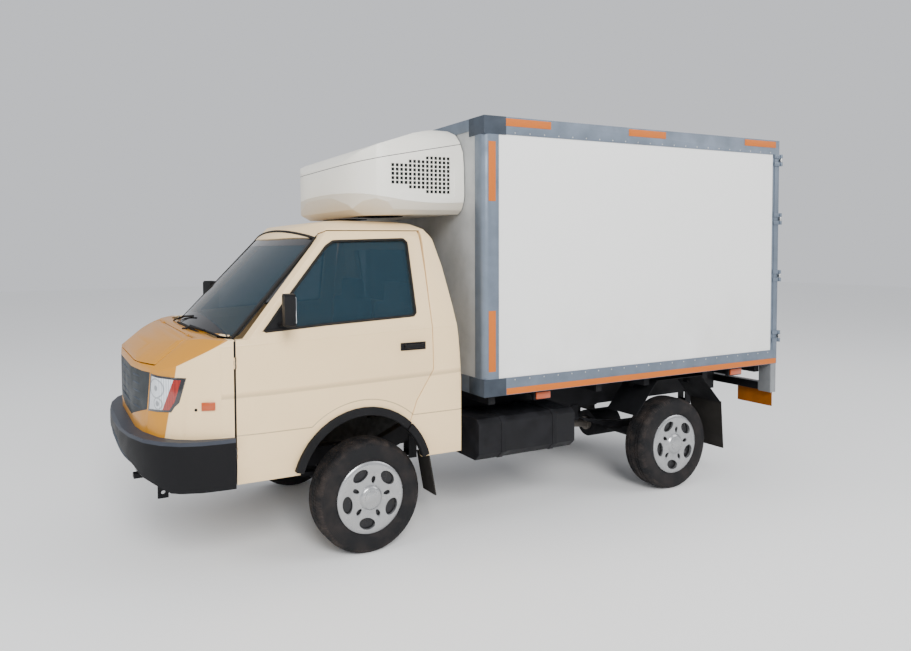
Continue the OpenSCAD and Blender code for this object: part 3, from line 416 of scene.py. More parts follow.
def make_finishes(colours):
    """Every finish of the truck, by name."""
    FINISHES.update({
        "cab": cab_finish(colours),
        "orange": paint_finish("orange_paint", colours.orange),
        "bumper": bumper_finish(colours),
        "plastic": moulded_finish("black_plastic", colours.plastic),
        "inside": moulded_finish("dash_plastic", (0.045, 0.065, 0.065), 0.7),
        "grille": moulded_finish("grille_plastic", (0.040, 0.046, 0.050), 0.45),
        "chassis": soiled(Finish("chassis_paint", (0.006, 0.006, 0.007), 0.5, Specular_IOR_Level=0.15),
                          2.2, 0.25, 12.0),
        "cast": soiled(Finish("cast_iron", (0.05, 0.05, 0.05), 0.7, Metallic=0.6), 0.6, 0.2, 25.0),
        "pipe": metal_finish("pipe_steel", (0.30, 0.27, 0.24), 0.5),
        "silver": wheel_finish(),
        "edge": metal_finish("edge_aluminium", (0.155, 0.190, 0.240), 0.42, 0.45),
        "panel": panel_finish(colours),
        "front_panel": metal_finish("front_wall", (0.40, 0.41, 0.41), 0.45, 0.1),
        "unit": unit_finish(colours),
        "tyre": tyre_finish(colours),
        "flap": moulded_finish("flap_rubber", (0.022, 0.020, 0.018), 0.75),
        "rust_flap": moulded_finish("orange_flap", (0.26, 0.075, 0.004), 0.6),
        "glass": glass_finish("door_glass", colours),
        "screen": screen_finish(colours),
        "lamp": lamp_finish(),
        "mirror": Finish("mirror_glass", (0.80, 0.82, 0.84), 0.03, Metallic=1.0),
        "clear": Finish("reflector_chrome", (0.85, 0.86, 0.88), 0.10, Metallic=1.0),
        "red": Finish("red_lens", (0.36, 0.006, 0.005), 0.25, Coat_Weight=0.6),
        "amber": Finish("amber_lens", (0.40, 0.055, 0.0), 0.3, Coat_Weight=0.6),
        "tape": Finish("orange_tape", (0.50, 0.115, 0.0), 0.6),
        "dark": moulded_finish("dark_cap", (0.050, 0.062, 0.080), 0.5),
        "plate": Finish("blank_plate", (0.80, 0.80, 0.78), 0.4),
        "cloth": fabric_finish(),
        "posts": posts_finish(colours),
        "zinc": metal_finish("zinc_steel", (0.55, 0.55, 0.54), 0.38),
    })
    for name in ("mirror", "clear", "red", "amber", "tape", "plate"):
        finish = FINISHES[name]
        base = finish.shader.inputs["Roughness"].default_value
        finish.feed("Roughness", finish.noise(30.0, 3.0) * 0.06 + base)
    for node, finish in NODE_FINISHES.items():
        target = frame["nodes"][node]
        target.data.materials.clear()
        target.data.materials.append(FINISHES[finish].material)


# Finish of each node, and of the piece that stands for it
NODE_FINISHES = {
    "frame_rails": "chassis", "cross_members": "chassis", "engine": "cast", "exhaust": "pipe",
    "fuel_tank": "chassis",
    "propshaft": "pipe", "front_axle": "chassis", "leaf_springs": "chassis", "rear_axle": "chassis",
    "cab_shell": "cab", "bumper": "bumper", "grille": "grille", "headlamps": "lamp",
    "windshield": "screen", "rear_window": "glass", "dashboard": "inside", "seats": "cloth",
    "bonnet": "orange", "steering_wheel": "plastic", "box_frame": "edge", "box_floor": "edge",
    "box_sides": "panel", "box_front_wall": "front_panel", "box_roof": "panel", "box_bearers": "chassis",
    "evaporator": "edge", "unit_housing": "unit", "unit_grilles": "plastic",
    "rear_mudguards": "plastic", "mud_flaps": "flap", "rear_bumper": "posts",
    "rear_flaps": "rust_flap", "tail_lamps": "red", "tie_rod": "chassis",
}
for side, _sign in SIDES:
    NODE_FINISHES.update({
        f"door_{side}": "cab", f"door_glass_{side}": "glass", f"mirror_{side}": "plastic",
        f"knuckle_{side}": "cast", f"box_door_{side}": "panel", f"door_gear_{side}": "zinc",
    })
    for end in ("front", "rear"):
        NODE_FINISHES[f"tyre_{end}_{side}"] = "tyre"
        NODE_FINISHES[f"rim_{end}_{side}"] = "silver"


# ---- Modelling helpers ---------------------------------------------------------------------------


def only(obj):
    """Selects one object and makes it active."""
    bpy.ops.object.select_all(action="DESELECT")
    obj.select_set(True)
    bpy.context.view_layer.objects.active = obj


def edit(obj, select="SELECT"):
    """Edit mode on one object, with everything or nothing selected."""
    only(obj)
    bpy.ops.object.mode_set(mode="EDIT")
    bpy.ops.mesh.select_all(action=select)


def leave():
    bpy.ops.object.mode_set(mode="OBJECT")


def modify(obj, kind, **settings):
    """Adds a modifier and applies it."""
    only(obj)
    modifier = obj.modifiers.new(kind.lower(), kind)
    for key, value in settings.items():
        setattr(modifier, key, value)
    bpy.ops.object.modifier_apply(modifier=modifier.name)


def rounded(obj, width, segments=2, angle=35.0):
    """Bevels the sharp edges and shades the rest smooth."""
    if width:
        modify(obj, "BEVEL", width=width, segments=segments, limit_method="ANGLE",
               angle_limit=math.radians(angle), use_clamp_overlap=True)
    only(obj)
    bpy.ops.object.shade_smooth_by_angle(angle=math.radians(angle))


def finished(obj, name, body, finish, replaced=()):
    """Names a piece, applies its place, and gives it its finish and its body."""
    only(obj)
    bpy.ops.object.transform_apply(location=True, rotation=True, scale=True)
    obj.name = name
    obj.data.name = name
    obj.data.materials.clear()
    obj.data.materials.append(FINISHES[finish].material)
    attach(obj, body)
    if replaced:
        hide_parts(*replaced)
    return obj


def joined(objects):
    bpy.ops.object.select_all(action="DESELECT")
    for obj in objects:
        obj.select_set(True)
    bpy.context.view_layer.objects.active = objects[0]
    if len(objects) > 1:
        bpy.ops.object.join()
    return bpy.context.view_layer.objects.active


def block(low, high, bevel=0.002, turn=None):
    """Box between two corners with its edges rounded, turned about its middle if asked."""
    centre = (Vector(low) + Vector(high)) / 2
    size = Vector(high) - Vector(low)
    bpy.ops.mesh.primitive_cube_add(size=1, location=centre)
    obj = bpy.context.object
    obj.scale = (abs(size.x), abs(size.y), abs(size.z))
    bpy.ops.object.transform_apply(location=False, rotation=False, scale=True)
    if turn:
        obj.rotation_euler = turn
        bpy.ops.object.transform_apply(location=False, rotation=True, scale=False)
    rounded(obj, min(bevel, min(abs(s) for s in size) * 0.35))
    return obj


def disc(centre, radius, depth, axis="Y", vertices=32, bevel=0.001):
    """Short rounded cylinder about an axis."""
    turn = {"X": (0, math.pi / 2, 0), "Y": (math.pi / 2, 0, 0), "Z": (0, 0, 0)}[axis]
    bpy.ops.mesh.primitive_cylinder_add(vertices=vertices, radius=radius, depth=depth,
                                        location=centre, rotation=turn)
    obj = bpy.context.object
    rounded(obj, min(bevel, depth * 0.3))
    return obj


def outline_plate(points, thickness, normal):
    """A flat outline of points, given thickness along a normal."""
    bpy.ops.mesh.primitive_circle_add(vertices=len(points), radius=1, fill_type="NGON")
    obj = bpy.context.object
    for vertex, point in zip(obj.data.vertices, points):
        vertex.co = point
    edit(obj)
    move = Vector(normal) * thickness
    bpy.ops.mesh.extrude_region_move(TRANSFORM_OT_translate={"value": tuple(move)})
    bpy.ops.mesh.select_all(action="SELECT")
    bpy.ops.mesh.normals_make_consistent(inside=False)
    leave()
    return obj


def spun(points, centre, steps):
    """A closed section turned round the wheel's axis."""
    bpy.ops.mesh.primitive_circle_add(vertices=len(points), radius=1)
    obj = bpy.context.object
    for vertex, point in zip(obj.data.vertices, points):
        vertex.co = point
    edit(obj)
    bpy.ops.mesh.spin(steps=steps, angle=math.tau, center=centre, axis=(0, 1, 0))
    bpy.ops.mesh.select_all(action="SELECT")
    bpy.ops.mesh.remove_doubles(threshold=0.0001)
    bpy.ops.mesh.normals_make_consistent(inside=False)
    leave()
    return obj


def tube(points, radius, sides=10, cyclic=False):
    """A round tube along points, as a mesh."""
    curve = bpy.data.curves.new("tube", "CURVE")
    curve.dimensions = "3D"
    curve.bevel_depth = radius
    curve.bevel_resolution = max(1, sides // 4)
    curve.use_fill_caps = True
    spline = curve.splines.new("POLY")
    spline.points.add(len(points) - 1)
    spline.use_cyclic_u = cyclic
    for slot, point in zip(spline.points, points):
        slot.co = (*point, 1)
    obj = bpy.data.objects.new("tube", curve)
    bpy.context.scene.collection.objects.link(obj)
    only(obj)
    bpy.ops.object.convert(target="MESH")
    obj = bpy.context.object
    bpy.ops.object.shade_smooth_by_angle(angle=math.radians(40))
    return obj


def panel_copy(node, bevel, angle=35.0, segments=2):
    """A node's own shape, merged, with its edges rounded."""
    source = frame["nodes"][node]
    obj = source.copy()
    obj.data = source.data.copy()
    obj.parent = None
    obj.matrix_world = Matrix.Identity(4)
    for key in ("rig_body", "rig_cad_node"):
        if key in obj:
            del obj[key]
    bpy.context.scene.collection.objects.link(obj)
    edit(obj)
    bpy.ops.mesh.remove_doubles(threshold=0.00003)
    bpy.ops.mesh.dissolve_limited(angle_limit=math.radians(0.4))
    leave()
    rounded(obj, bevel, segments, angle)
    return obj


def stand_in(node, bevel, body, angle=35.0, segments=2):
    obj = panel_copy(node, bevel, angle, segments)
    return finished(obj, f"{node}_panel", body, NODE_FINISHES[node], (node,))


def trimmed(obj, point, normal):
    """Cuts away what lies beyond a plane and closes the cut."""
    edit(obj)
    bpy.ops.mesh.bisect(plane_co=point, plane_no=normal, use_fill=True, clear_outer=True)
    leave()
    return obj


def carved(obj, cutters):
    """Takes the joined cutters out of an object."""
    cutter = joined(cutters)
    modify(obj, "BOOLEAN", operation="DIFFERENCE", solver="EXACT", object=cutter)
    bpy.data.objects.remove(cutter, do_unlink=True)
    return obj


# ---- Settings ------------------------------------------------------------------------------------


def colour_setting(name, default, text):
    return bpy.props.FloatVectorProperty(name=name, description=text, default=default, size=3,
                                         subtype="COLOR", min=0.0, max=1.0)


def length_setting(name, default, text):
    return bpy.props.FloatProperty(name=name, description=text, default=default, min=0.0,
                                   subtype="DISTANCE", unit="LENGTH")


class TruckColours(bpy.types.PropertyGroup):
    """Colours of the truck's surfaces."""

    cream: colour_setting("Cab", (0.90, 0.66, 0.36), "Paint of the cab")
    orange: colour_setting("Nose", (0.50, 0.205, 0.0), "Paint of the bonnet and the nose")
    white: colour_setting("Box", (0.84, 0.84, 0.82), "Panels of the box")
    unit: colour_setting("Unit", (0.82, 0.80, 0.72), "Shell of the cooling unit")
    plastic: colour_setting("Plastic", (0.008, 0.008, 0.009), "Black mouldings")
    rubber: colour_setting("Tyres", (0.010, 0.010, 0.011), "Rubber of the tyres")
    glass: colour_setting("Glass", (0.010, 0.032, 0.048), "Tint of the windows")


class TruckSizes(bpy.types.PropertyGroup):
    """Sizes of the edges and the trim."""

    panel_edge: length_setting("Panel edge", 0.005, "Rounding of the cab's panel edges")
    trim_edge: length_setting("Trim edge", 0.002, "Rounding of small parts")
    flare_width: length_setting("Arch flare", 0.048, "Width of the black flare round the arch")
    tape_depth: length_setting("Tape", 0.0015, "Thickness of the reflective strips")
    groove: length_setting("Tread groove", 0.007, "Depth of the tyre's grooves")


class Piece(bpy.types.Operator):
    """Shared base of the truck's operators"""

    bl_options = {"REGISTER", "UNDO"}

    @property
    def sizes(self):
        return bpy.context.scene.truck_sizes


# ---- Cab -----------------------------------------------------------------------------------------


class TRUCK_OT_finishes(Piece):
    """Make every finish and put it on the frame's nodes"""

    bl_idname = "truck.finishes"
    bl_label = "Finishes"

    def execute(self, context):
        make_finishes(context.scene.truck_colours)
        return {"FINISHED"}


class TRUCK_OT_cab(Piece):
    """Panels of the cab with rounded edges, the bumper and the shell of the cooling unit"""

    bl_idname = "truck.cab"
    bl_label = "Cab panels"

    def execute(self, context):
        edge = self.sizes.panel_edge
        stand_in("cab_shell", edge, "chassis", 30)
        stand_in("bonnet", edge * 0.8, "bonnet", 30)
        bumper = panel_copy("bumper", 0.0)
        # Planes that round its lower front edge
        for x, z, normal in ((1000, 538, (0, 0, -1)), (1150, 541, (0.454, 0, -0.891)),
                             (1262, 598, (0.738, 0, -0.674))):
            trimmed(bumper, at(x, 0, z), normal)
        rounded(bumper, edge * 1.6, 3, 20)
        finished(bumper, "bumper_panel", "chassis", "bumper", ("bumper",))
        for side, _sign in SIDES:
            stand_in(f"door_{side}", edge, f"door_{side}", 30)
            stand_in(f"mirror_{side}", 0.008, f"door_{side}", 30, 3)
        stand_in("dashboard", 0.012, "chassis", 30, 3)
        stand_in("windshield", 0.001, "chassis", 30)
        unit = panel_copy("unit_housing", 0.0)
        # Its lower front corners slope back to the cab's roof
        for sign in (1, -1):
            trimmed(unit, at(-100, sign * 455, 2004), Vector((0.625, sign * 0.781, -1.10)).normalized())
        rounded(unit, 0.012, 3, 24)
        finished(unit, "unit_shell", "chassis", "unit", ("unit_housing",))
        return {"FINISHED"}


def arch_points(radius, first, last, y, steps):
    """Points on the front wheel arch, in millimetres from the front axle."""
    points = []
    for i in range(steps + 1):
        angle = math.radians(first + (last - first) * i / steps)
        points.append(at(ARCH_X + radius * math.cos(angle), y, ARCH_Z + radius * math.sin(angle)))
    return points


class TRUCK_OT_cab_trim(Piece):
    """Arch flares, handles, side lamps, grille bars, bumper slats, wipers and mirror glass"""

    bl_idname = "truck.cab_trim"
    bl_label = "Cab trim"

    def flare(self, side, sign, name, body, first, last):
        inner = arch_points(392, first, last, sign * 772, 16)
        outer = arch_points(392 + self.sizes.flare_width * 1000, first, last, sign * 772, 16)
        ring = outline_plate(inner + outer[::-1], 0.042, (0, sign, 0))
        rounded(ring, 0.006, 3, 40)
        finished(ring, f"{name}_{side}", body, "plastic")

    def handle(self, side, sign):
        y = sign * 0.804
        plate = block(at(-340, 0, 1198) + Vector((0, y - sign * 0.006, 0)),
                      at(-172, 0, 1244) + Vector((0, y + sign * 0.002, 0)), 0.003)
        grip = block(at(-325, 0, 1212) + Vector((0, y + sign * 0.014, 0)),
                     at(-190, 0, 1234) + Vector((0, y + sign * 0.024, 0)), 0.005)
        ends = [block(at(x, 0, 1212) + Vector((0, y, 0)),
                      at(x + 18, 0, 1234) + Vector((0, y + sign * 0.022, 0)), 0.003)
                for x in (-325, -208)]
        finished(joined([plate, grip, *ends]), f"door_handle_{side}", f"door_{side}", "plastic")

    def side_lamp(self, side, sign):
        angle = math.radians(-sign * 17)
        centre = at(952, sign * 766, 980)
        lamp = block(centre - Vector((0.036, 0.006, 0.022)), centre + Vector((0.036, 0.006, 0.022)),
                     0.004, (0, 0, angle))
        finished(lamp, f"side_lamp_{side}", "chassis", "amber")

    def front_curve(self, z, out, count=15, half=470):
        """Points across the nose at a height, standing out of the grille by out metres."""
        points = []
        for i in range(count):
            y = half * (2 * i / (count - 1) - 1)
            x = 1281 - 11 * (y / 250) ** 2 - 17 * max(0, (abs(y) - 300) / 170) ** 2
            points.append(at(x, y, z) + Vector((out, 0, 0)))
        return points

    def grille_bars(self):
        bars = [tube(self.front_curve(z, -0.006, half=half), 0.007)
                for z, half in ((1105, 505), (1062, 495), (1018, 480), (974, 470), (930, 440))]
        finished(joined(bars), "grille_bars", "chassis", "dark")

    def bumper_slats(self):
        slats = []
        for z, x in ((632, 1324), (656, 1332), (680, 1340), (704, 1344)):
            points = [at(x - 39 * abs(y / 440) ** 2.6, y, z) for y in range(-420, 421, 60)]
            slats.append(tube(points, 0.0065))
        finished(joined(slats), "bumper_slats", "chassis", "dark")

    def on_glass(self, up, y, out=0.0):
        """Point on the windshield: distance up the glass and across, standing out of it."""
        rake = math.radians(44.7)
        out -= y * y / 4800
        return at(930 - up * math.cos(rake) + out * math.sin(rake), y,
                  1322 + up * math.sin(rake) + out * math.cos(rake))

    def glass_seal(self):
        """Dark rubber round the windshield."""
        ring = [self.on_glass(14, y, -1) for y in range(-680, 681, 80)]
        ring += [self.on_glass(14 + 828 * t / 8, 684 - 80 * t / 8, -1) for t in range(1, 8)]
        ring += [self.on_glass(842, y, -1) for y in range(600, -601, -80)]
        ring += [self.on_glass(14 + 828 * t / 8, -684 + 80 * t / 8, -1) for t in range(7, 0, -1)]
        finished(tube(ring, 0.009, 12, True), "windshield_seal", "chassis", "flap")

    def wipers(self):
        arms = []
        for pivot, blade in (((-14, 120), ((26, 150), (44, 400), (62, 590))),
                             ((-14, -480), ((40, -420), (66, -180), (88, 40)))):
            middle_point = self.on_glass(*blade[1], 14)
            arms.append(tube([self.on_glass(*pivot, 10), self.on_glass(pivot[0] + 30, pivot[1] + 90, 24),
                              middle_point], 0.0055))
            arms.append(tube([self.on_glass(*point, 9) for point in blade], 0.0065))
            arms.append(disc(self.on_glass(*pivot, 6), 0.017, 0.030, "Z"))
        finished(joined(arms), "wipers", "chassis", "plastic")

    def window_seal(self, side, sign):
        """Dark rubber round the side window, bent with the door."""
        corners = [(655, 1354), (516, 1512), (240, 1813), (192, 1842), (-268, 1853), (-291, 1832),
                   (-291, 1416), (-274, 1399), (300, 1376)]
        points = []
        for x, z in corners:
            y = 802 - max(0, z - 1200) * 9 / 130 if z < 1330 else 793 - (z - 1330) * 131 / 508
            points.append(at(x, sign * (y - max(0, x - 600) * 0.066), z))
        ring = []
        for a, b in zip(points, points[1:] + points[:1]):
            ring += [a.lerp(b, 0.04), a.lerp(b, 0.5), a.lerp(b, 0.96)]
        finished(tube(ring, 0.0075, 12, True), f"window_seal_{side}", f"door_{side}", "flap")

    def mirror_glass(self, side, sign):
        centre = at(516, sign * 900, 1478)
        glass = block(centre - Vector((0.002, 0.052, 0.068)), centre + Vector((0.002, 0.052, 0.068)),
                      0.0015, (0, 0, math.radians(-sign * 12)))
        finished(glass, f"mirror_glass_{side}", f"door_{side}", "mirror")

    def execute(self, context):
        for side, sign in SIDES:
            self.flare(side, sign, "door_flare", f"door_{side}", 16, 133.9)
            self.flare(side, sign, "rear_flare", "chassis", 135.0, 165)
            self.handle(side, sign)
            self.side_lamp(side, sign)
            self.mirror_glass(side, sign)
            self.window_seal(side, sign)
        self.grille_bars()
        self.bumper_slats()
        self.wipers()
        self.glass_seal()
        return {"FINISHED"}


class TRUCK_OT_lamps(Piece):
    """Headlamps, grille and the small plug on each cheek"""

    bl_idname = "truck.lamps"
    bl_label = "Lamps"

    def execute(self, context):
        stand_in("grille", 0.003, "chassis", 30)
        stand_in("headlamps", 0.0015, "chassis", 30)
        for side, sign in SIDES:
            dot = disc(at(1012, sign * 741, 963), 0.008, 0.008)
            finished(dot, f"plug_{side}", "chassis", "plastic")
        return {"FINISHED"}


# ---- Wheels --------------------------------------------------------------------------------------


class TRUCK_OT_wheels(Piece):
    """Tyres with grooved treads, and rims with their silver covers"""

    bl_idname = "truck.wheels"
    bl_label = "Wheels"

    def section(self):
        """Half section of a tyre: radius and offset from its middle plane."""
        r, w, g = TYRE_R, TYRE_W / 2, self.sizes.groove
        outer = [(0.1908, w - 0.028), (0.205, w - 0.020), (0.216, w - 0.016), (0.228, w - 0.008),
                 (0.250, w - 0.001), (0.272, w), (0.292, w - 0.002), (0.308, w - 0.008), (0.320, w - 0.016),
                 (r - 0.006, w - 0.026), (r - 0.002, w - 0.034)]
        ribs = []
        for y in (0.046, 0.022):
            ribs += [(r, y + 0.0035), (r - g, y + 0.003), (r - g, y - 0.003), (r, y - 0.0035)]
        ribs = [(r - 0.001, w - 0.042)] + ribs + [(r, 0.0)]
        half = outer + ribs
        return half + [(radius, -y) for radius, y in half[-2::-1]]

    # Section of rim and cover: radius, and offset outwards from the tyre's middle plane
    COVER = ((0.002, -0.050), (0.060, -0.050), (0.060, -0.020), (0.118, -0.020), (0.118, -0.005),
             (0.150, 0.030), (0.176, 0.036), (0.182, 0.020), (0.182, -0.064), (0.202, -0.081),
             (0.204, -0.078), (0.1895, -0.066), (0.1895, 0.068), (0.202, 0.077), (0.216, 0.079),
             (0.214, 0.085), (0.204, 0.090), (0.190, 0.092), (0.168, 0.090), (0.146, 0.087),
             (0.124, 0.084), (0.104, 0.083), (0.084, 0.084), (0.072, 0.086), (0.066, 0.095),
             (0.056, 0.100), (0.030, 0.0985), (0.002, 0.0985))

    def cover(self, centre, sign):
        """Rim and cover in one: a spun section with five wide and five narrow windows."""
        obj = spun([centre + Vector((0, sign * out, radius)) for radius, out in self.COVER], centre, 60)
        floor = centre + Vector((0, sign * 0.064, 0))
        cutters = []
        for i in range(5):
            cutters.append(self.window(floor, sign, 26 + 72 * i, 0.152, 0.034, 0.052))
            cutters.append(self.window(floor, sign, 62 + 72 * i, 0.106, 0.022, 0.013))
        carved(obj, cutters)
        rounded(obj, 0.003, 2, 40)
        cap = disc(centre + Vector((0, sign * 0.0985, 0)), 0.044, 0.006)
        return joined([obj, cap])

    def window(self, floor, sign, turn, radius, tall, wide):
        """Prism of an oval window, wider away from the hub."""
        points = []
        for i in range(24):
            a = math.tau * i / 24
            outward = radius + tall * math.cos(a)
            across = wide * math.sin(a) * (1 + 0.25 * math.cos(a))
            b = math.radians(turn) + across / outward
            points.append(floor + Vector((outward * math.sin(b), 0, outward * math.cos(b))))
        return outline_plate(points, 0.060, (0, sign, 0))

    def execute(self, context):
        section = self.section()
        for end, x in (("front", AXLE_X), ("rear", REAR_AXLE_X)):
            for side, sign in SIDES:
                centre = Vector((x, sign * WHEEL_Y, HUB_Z))
                tyre = spun([centre + Vector((0, y, radius)) for radius, y in section], centre, 72)
                only(tyre)
                bpy.ops.object.shade_smooth_by_angle(angle=math.radians(40))
                wheel = f"wheel_{end}_{side}"
                finished(tyre, f"tyre_tread_{end}_{side}", wheel, "tyre", (f"tyre_{end}_{side}",))
                cover = self.cover(centre, sign)
                finished(cover, f"wheel_cover_{end}_{side}", wheel, "silver", (f"rim_{end}_{side}",))
        return {"FINISHED"}


# ---- Box body ------------------------------------------------------------------------------------


class TRUCK_OT_box(Piece):
    """Edge profiles, doors, strips, caps, rivets, seals, evaporator, tank, tail signals and plate"""

    bl_idname = "truck.box"
    bl_label = "Box body"

    def strip(self, sign, x1, x2, z1, z2):
        depth = self.sizes.tape_depth
        face = sign * (BOX_SIDE + 0.0002)
        return block(at(x1, 0, z1) + Vector((0, face, 0)),
                     at(x2, 0, z2) + Vector((0, face + sign * depth, 0)), 0.0005)

    def strips(self, side, sign):
        top = [(-890, -1241), (-1910, -2258), (-3080, -3435)]
        pieces = [self.strip(sign, a, b, 2545, 2592) for a, b in top]
        pieces += [self.strip(sign, -760, -812, a, b) for a, b in ((2082, 2446), (1031, 1408))]
        pieces.append(self.strip(sign, -895, -3470, 879, 918))
        finished(joined(pieces), f"box_tape_{side}", "chassis", "tape")

    def caps(self, side, sign):
        pieces = []
        for low, high in ((2490, 2602), (875, 984)):
            pieces.append(block(at(-892, sign * 846, low), at(-724.5, sign * 851.5, high), 0.004))
            pieces.append(block(at(-740, sign * 690, low), at(-724, sign * 846, high), 0.004))
        finished(joined(pieces), f"box_caps_{side}", "chassis", "dark")

    def rivets(self, side, sign):
        bpy.ops.mesh.primitive_uv_sphere_add(segments=10, ring_count=6, radius=0.005,
                                             location=at(-960, sign * 850, 2506))
        rivet = bpy.context.object
        rivet.scale = (1, 0.35, 1)
        bpy.ops.object.transform_apply(location=True, rotation=True, scale=True)
        modify(rivet, "ARRAY", count=22, use_relative_offset=False, use_constant_offset=True,
               constant_offset_displace=(-0.115, 0, 0))
        modify(rivet, "ARRAY", count=2, use_relative_offset=False, use_constant_offset=True,
               constant_offset_displace=(0, 0, -(2.506 - 0.968)))
        bpy.ops.object.shade_smooth()
        finished(rivet, f"box_rivets_{side}", "chassis", "zinc")

    def reflectors(self, side, sign):
        pieces = []
        for x1, x2 in ((-1165, -1280), (-3013, -3137)):
            pieces.append(block(at(x1, sign * 796, 814), at(x2, sign * 806, 858), 0.003))
        finished(joined(pieces), f"side_reflectors_{side}", "chassis", "amber")
        plates = [block(at(x1 + 12, sign * 768, 806), at(x2 - 12, sign * 796, 866), 0.003)
                  for x1, x2 in ((-1165, -1280), (-3013, -3137))]
        finished(joined(plates), f"reflector_plates_{side}", "chassis", "chassis")

    def seal(self, side):
        low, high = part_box(f"box_door_{side}")
        x = low[0] - 0.004
        inset = 0.006
        ring = [(x, low[1] + inset, low[2] + inset), (x, high[1] - inset, low[2] + inset),
                (x, high[1] - inset, high[2] - inset), (x, low[1] + inset, high[2] - inset)]
        finished(tube(ring, 0.006, 8, True), f"box_door_seal_{side}", f"box_door_{side}", "flap")

    def execute(self, context):
        stand_in("box_frame", 0.0025, "chassis", 35)
        for side, sign in SIDES:
            self.strips(side, sign)
            self.caps(side, sign)
            self.rivets(side, sign)
            self.reflectors(side, sign)
            self.seal(side)
            stand_in(f"box_door_{side}", 0.003, f"box_door_{side}")
            stand_in(f"door_gear_{side}", 0.002, f"box_door_{side}")
        stand_in("evaporator", 0.012, "chassis")
        stand_in("rear_bumper", 0.004, "chassis")
        stand_in("fuel_tank", 0.006, "chassis")
        low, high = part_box("tail_lamps")
        for side, sign in SIDES:
            inner, outer = sorted((sign * 0.566, sign * 0.734))
            third = (outer - inner) / 3
            lens = block((low[0] - 0.006, inner, low[2] + 0.005), (low[0] + 0.004, inner + third - 0.003,
                         high[2] - 0.005), 0.002)
            finished(lens, f"tail_signal_{side}", "chassis", "amber")
        plate = block((BOX_REAR - 0.0015, -0.26, 0.63), (BOX_REAR + 0.0035, 0.26, 0.75), 0.001)
        finished(plate, "rear_blank_plate", "chassis", "plate")
        return {"FINISHED"}


# ---- Cooling unit --------------------------------------------------------------------------------


class TRUCK_OT_unit(Piece):
    """Side lattices and the fans with their guards under the unit"""

    bl_idname = "truck.unit"
    bl_label = "Cooling unit"

    VENT = ((-652, 2110), (-203, 2156), (-203, 2320), (-620, 2394), (-652, 2382))

    def lattice(self, side, sign):
        """Plate with square holes in the side recess: more rows of them towards the box."""
        plate = outline_plate([at(x, sign * 630, z) for x, z in self.VENT], 0.006, (0, sign, 0))
        holes = []
        for row, first in enumerate((8, 4, 0, 0, 0, 0, 0, 4, 8)):
            z = 2355 - row * 26
            for column in range(first, 14):
                x = -216 - column * 30.2
                bpy.ops.mesh.primitive_cube_add(size=1, location=at(x, sign * 633, z))
                hole = bpy.context.object
                hole.scale = (0.0215, 0.03, 0.0195)
                holes.append(hole)
        carved(plate, holes)
        rounded(plate, 0.0, 1, 30)
        finished(plate, f"unit_lattice_{side}", "chassis", "unit")

    def fan(self, sign):
        centre = at(-298, sign * 270, 2008)
        rings = []
        for radius in (0.045, 0.085, 0.125, 0.16):
            points = [centre + Vector((radius * math.cos(a), radius * math.sin(a), 0))
                      for a in [math.tau * i / 40 for i in range(40)]]
            rings.append(tube(points, 0.0025, 8, True))
        for spoke in range(6):
            a = math.tau * spoke / 6
            rings.append(tube([centre, centre + Vector((0.163 * math.cos(a), 0.163 * math.sin(a), 0))],
                              0.0025, 8))
        rings.append(disc(centre, 0.03, 0.008, "Z"))
        finished(joined(rings), f"fan_guard_{'left' if sign > 0 else 'right'}", "chassis", "plastic")

    def execute(self, context):
        for side, sign in SIDES:
            self.lattice(side, sign)
            self.fan(sign)
        return {"FINISHED"}


# ---- Seats ---------------------------------------------------------------------------------------


class TRUCK_OT_seats(Piece):
    """Padded seats, swollen by cloth pressure from the seat blocks"""

    bl_idname = "truck.seats"
    bl_label = "Seats"

    FRAMES = 14
    SWELL = 0.010

    def execute(self, context):
        seat = panel_copy("seats", 0.0)
        modify(seat, "REMESH", mode="VOXEL", voxel_size=0.016)
        modify(seat, "SMOOTH", factor=0.6, iterations=12)
        rest = [vertex.co.copy() for vertex in seat.data.vertices]
        cloth = seat.modifiers.new("cloth", "CLOTH")
        cloth.settings.use_pressure = True
        cloth.settings.uniform_pressure_force = 4.0
        cloth.settings.effector_weights.gravity = 0.0
        for step in range(1, self.FRAMES + 1):
            context.scene.frame_set(step)
        only(seat)
        bpy.ops.object.modifier_apply(modifier="cloth")
        context.scene.frame_set(1)
        for vertex, before in zip(seat.data.vertices, rest):
            move = vertex.co - before
            if move.length > self.SWELL:
                vertex.co = before + move.normalized() * self.SWELL
        only(seat)
        bpy.ops.object.shade_smooth()
        finished(seat, "seat_pads", "chassis", "cloth", ("seats",))
        return {"FINISHED"}


# ---- Stage ---------------------------------------------------------------------------------------


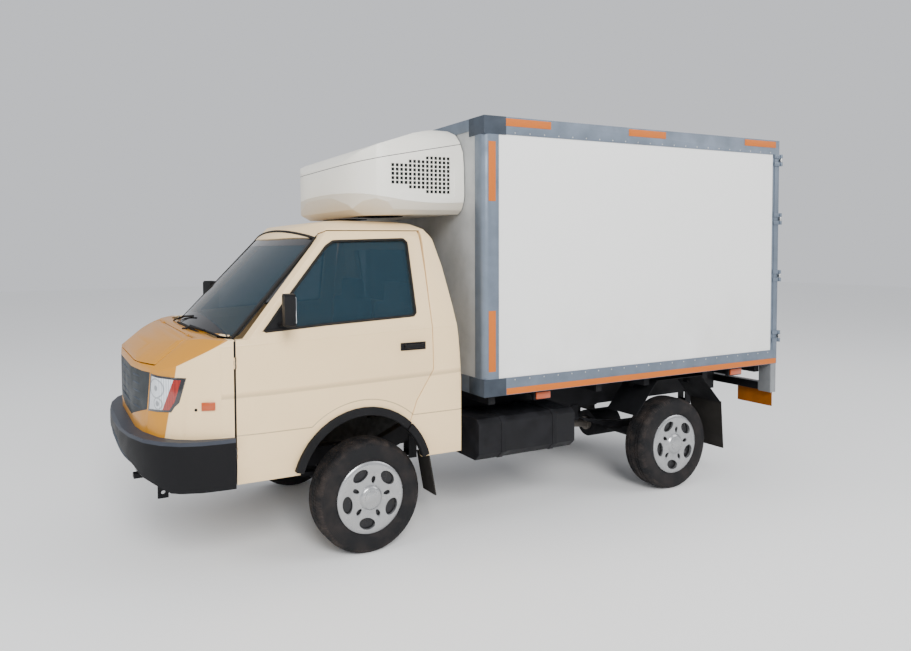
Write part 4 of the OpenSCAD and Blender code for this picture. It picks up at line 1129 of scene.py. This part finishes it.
class TRUCK_OT_stage(Piece):
    """Floor, lights and camera"""

    bl_idname = "truck.stage"
    bl_label = "Stage"

    def floor(self):
        bpy.ops.mesh.primitive_plane_add(size=60, location=(0, 0, 0))
        floor = bpy.context.object
        floor.name = "floor"
        surface = Finish("floor_surface", (0.93, 0.93, 0.92), 0.75)
        floor.data.materials.append(surface.material)

    def lights(self):
        for name, place, size, power in (("key", (4, 11, 8), 5, 1700), ("fill", (9, 1, 5), 6, 250),
                                         ("back", (-8, 6, 7), 7, 400)):
            bpy.ops.object.light_add(type="AREA", location=place)
            light = bpy.context.object
            light.name = name
            light.data.size = size
            light.data.energy = power
            light.rotation_euler = (Vector((0, 0, 1)) - Vector(place)).to_track_quat("-Z", "Y").to_euler()
        world = bpy.data.worlds.new("sky")
        world.use_nodes = True
        world.node_tree.nodes["Background"].inputs[0].default_value = (0.93, 0.95, 1.0, 1)
        world.node_tree.nodes["Background"].inputs[1].default_value = 0.8
        bpy.context.scene.world = world

    def camera(self):
        yaw, pitch, roll = (math.radians(a) for a in (-115.03, -2.19, -0.48))
        bpy.ops.object.camera_add(location=at(1762.0, 4362.6, 1798.6))
        camera = bpy.context.object
        turn = Euler((math.pi / 2 + pitch, 0, yaw - math.pi / 2)).to_matrix()
        turn = turn @ Matrix.Rotation(roll, 3, "Z")
        camera.rotation_euler = turn.to_euler()
        camera.data.sensor_width = 36.0
        camera.data.lens = 27.46
        camera.data.shift_x = 0.1069
        camera.data.shift_y = -0.0553
        bpy.context.scene.camera = camera

    def execute(self, context):
        self.floor()
        self.lights()
        self.camera()
        return {"FINISHED"}


STEPS = (TRUCK_OT_stage, TRUCK_OT_finishes, TRUCK_OT_cab, TRUCK_OT_cab_trim, TRUCK_OT_lamps,
         TRUCK_OT_wheels, TRUCK_OT_box, TRUCK_OT_unit, TRUCK_OT_seats)


class TRUCK_PT_panel(bpy.types.Panel):
    """Lists the settings and the steps"""

    bl_label = "Truck"
    bl_space_type = "VIEW_3D"
    bl_region_type = "UI"
    bl_category = "Truck"

    def draw(self, context):
        for group in (context.scene.truck_colours, context.scene.truck_sizes):
            for key in group.__annotations__:
                self.layout.prop(group, key)
        for step in STEPS:
            self.layout.operator(step.bl_idname)


CLASSES = (TruckColours, TruckSizes, *STEPS, TRUCK_PT_panel)


def register():
    for cls in CLASSES:
        bpy.utils.register_class(cls)
    bpy.types.Scene.truck_colours = bpy.props.PointerProperty(type=TruckColours)
    bpy.types.Scene.truck_sizes = bpy.props.PointerProperty(type=TruckSizes)


def unregister():
    del bpy.types.Scene.truck_sizes
    del bpy.types.Scene.truck_colours
    for cls in reversed(CLASSES):
        bpy.utils.unregister_class(cls)


def main():
    register()
    for step in STEPS:
        bpy.ops.object.select_all(action="DESELECT")
        group, name = step.bl_idname.split(".")
        getattr(getattr(bpy.ops, group), name)()


if __name__ == "__main__":
    main()
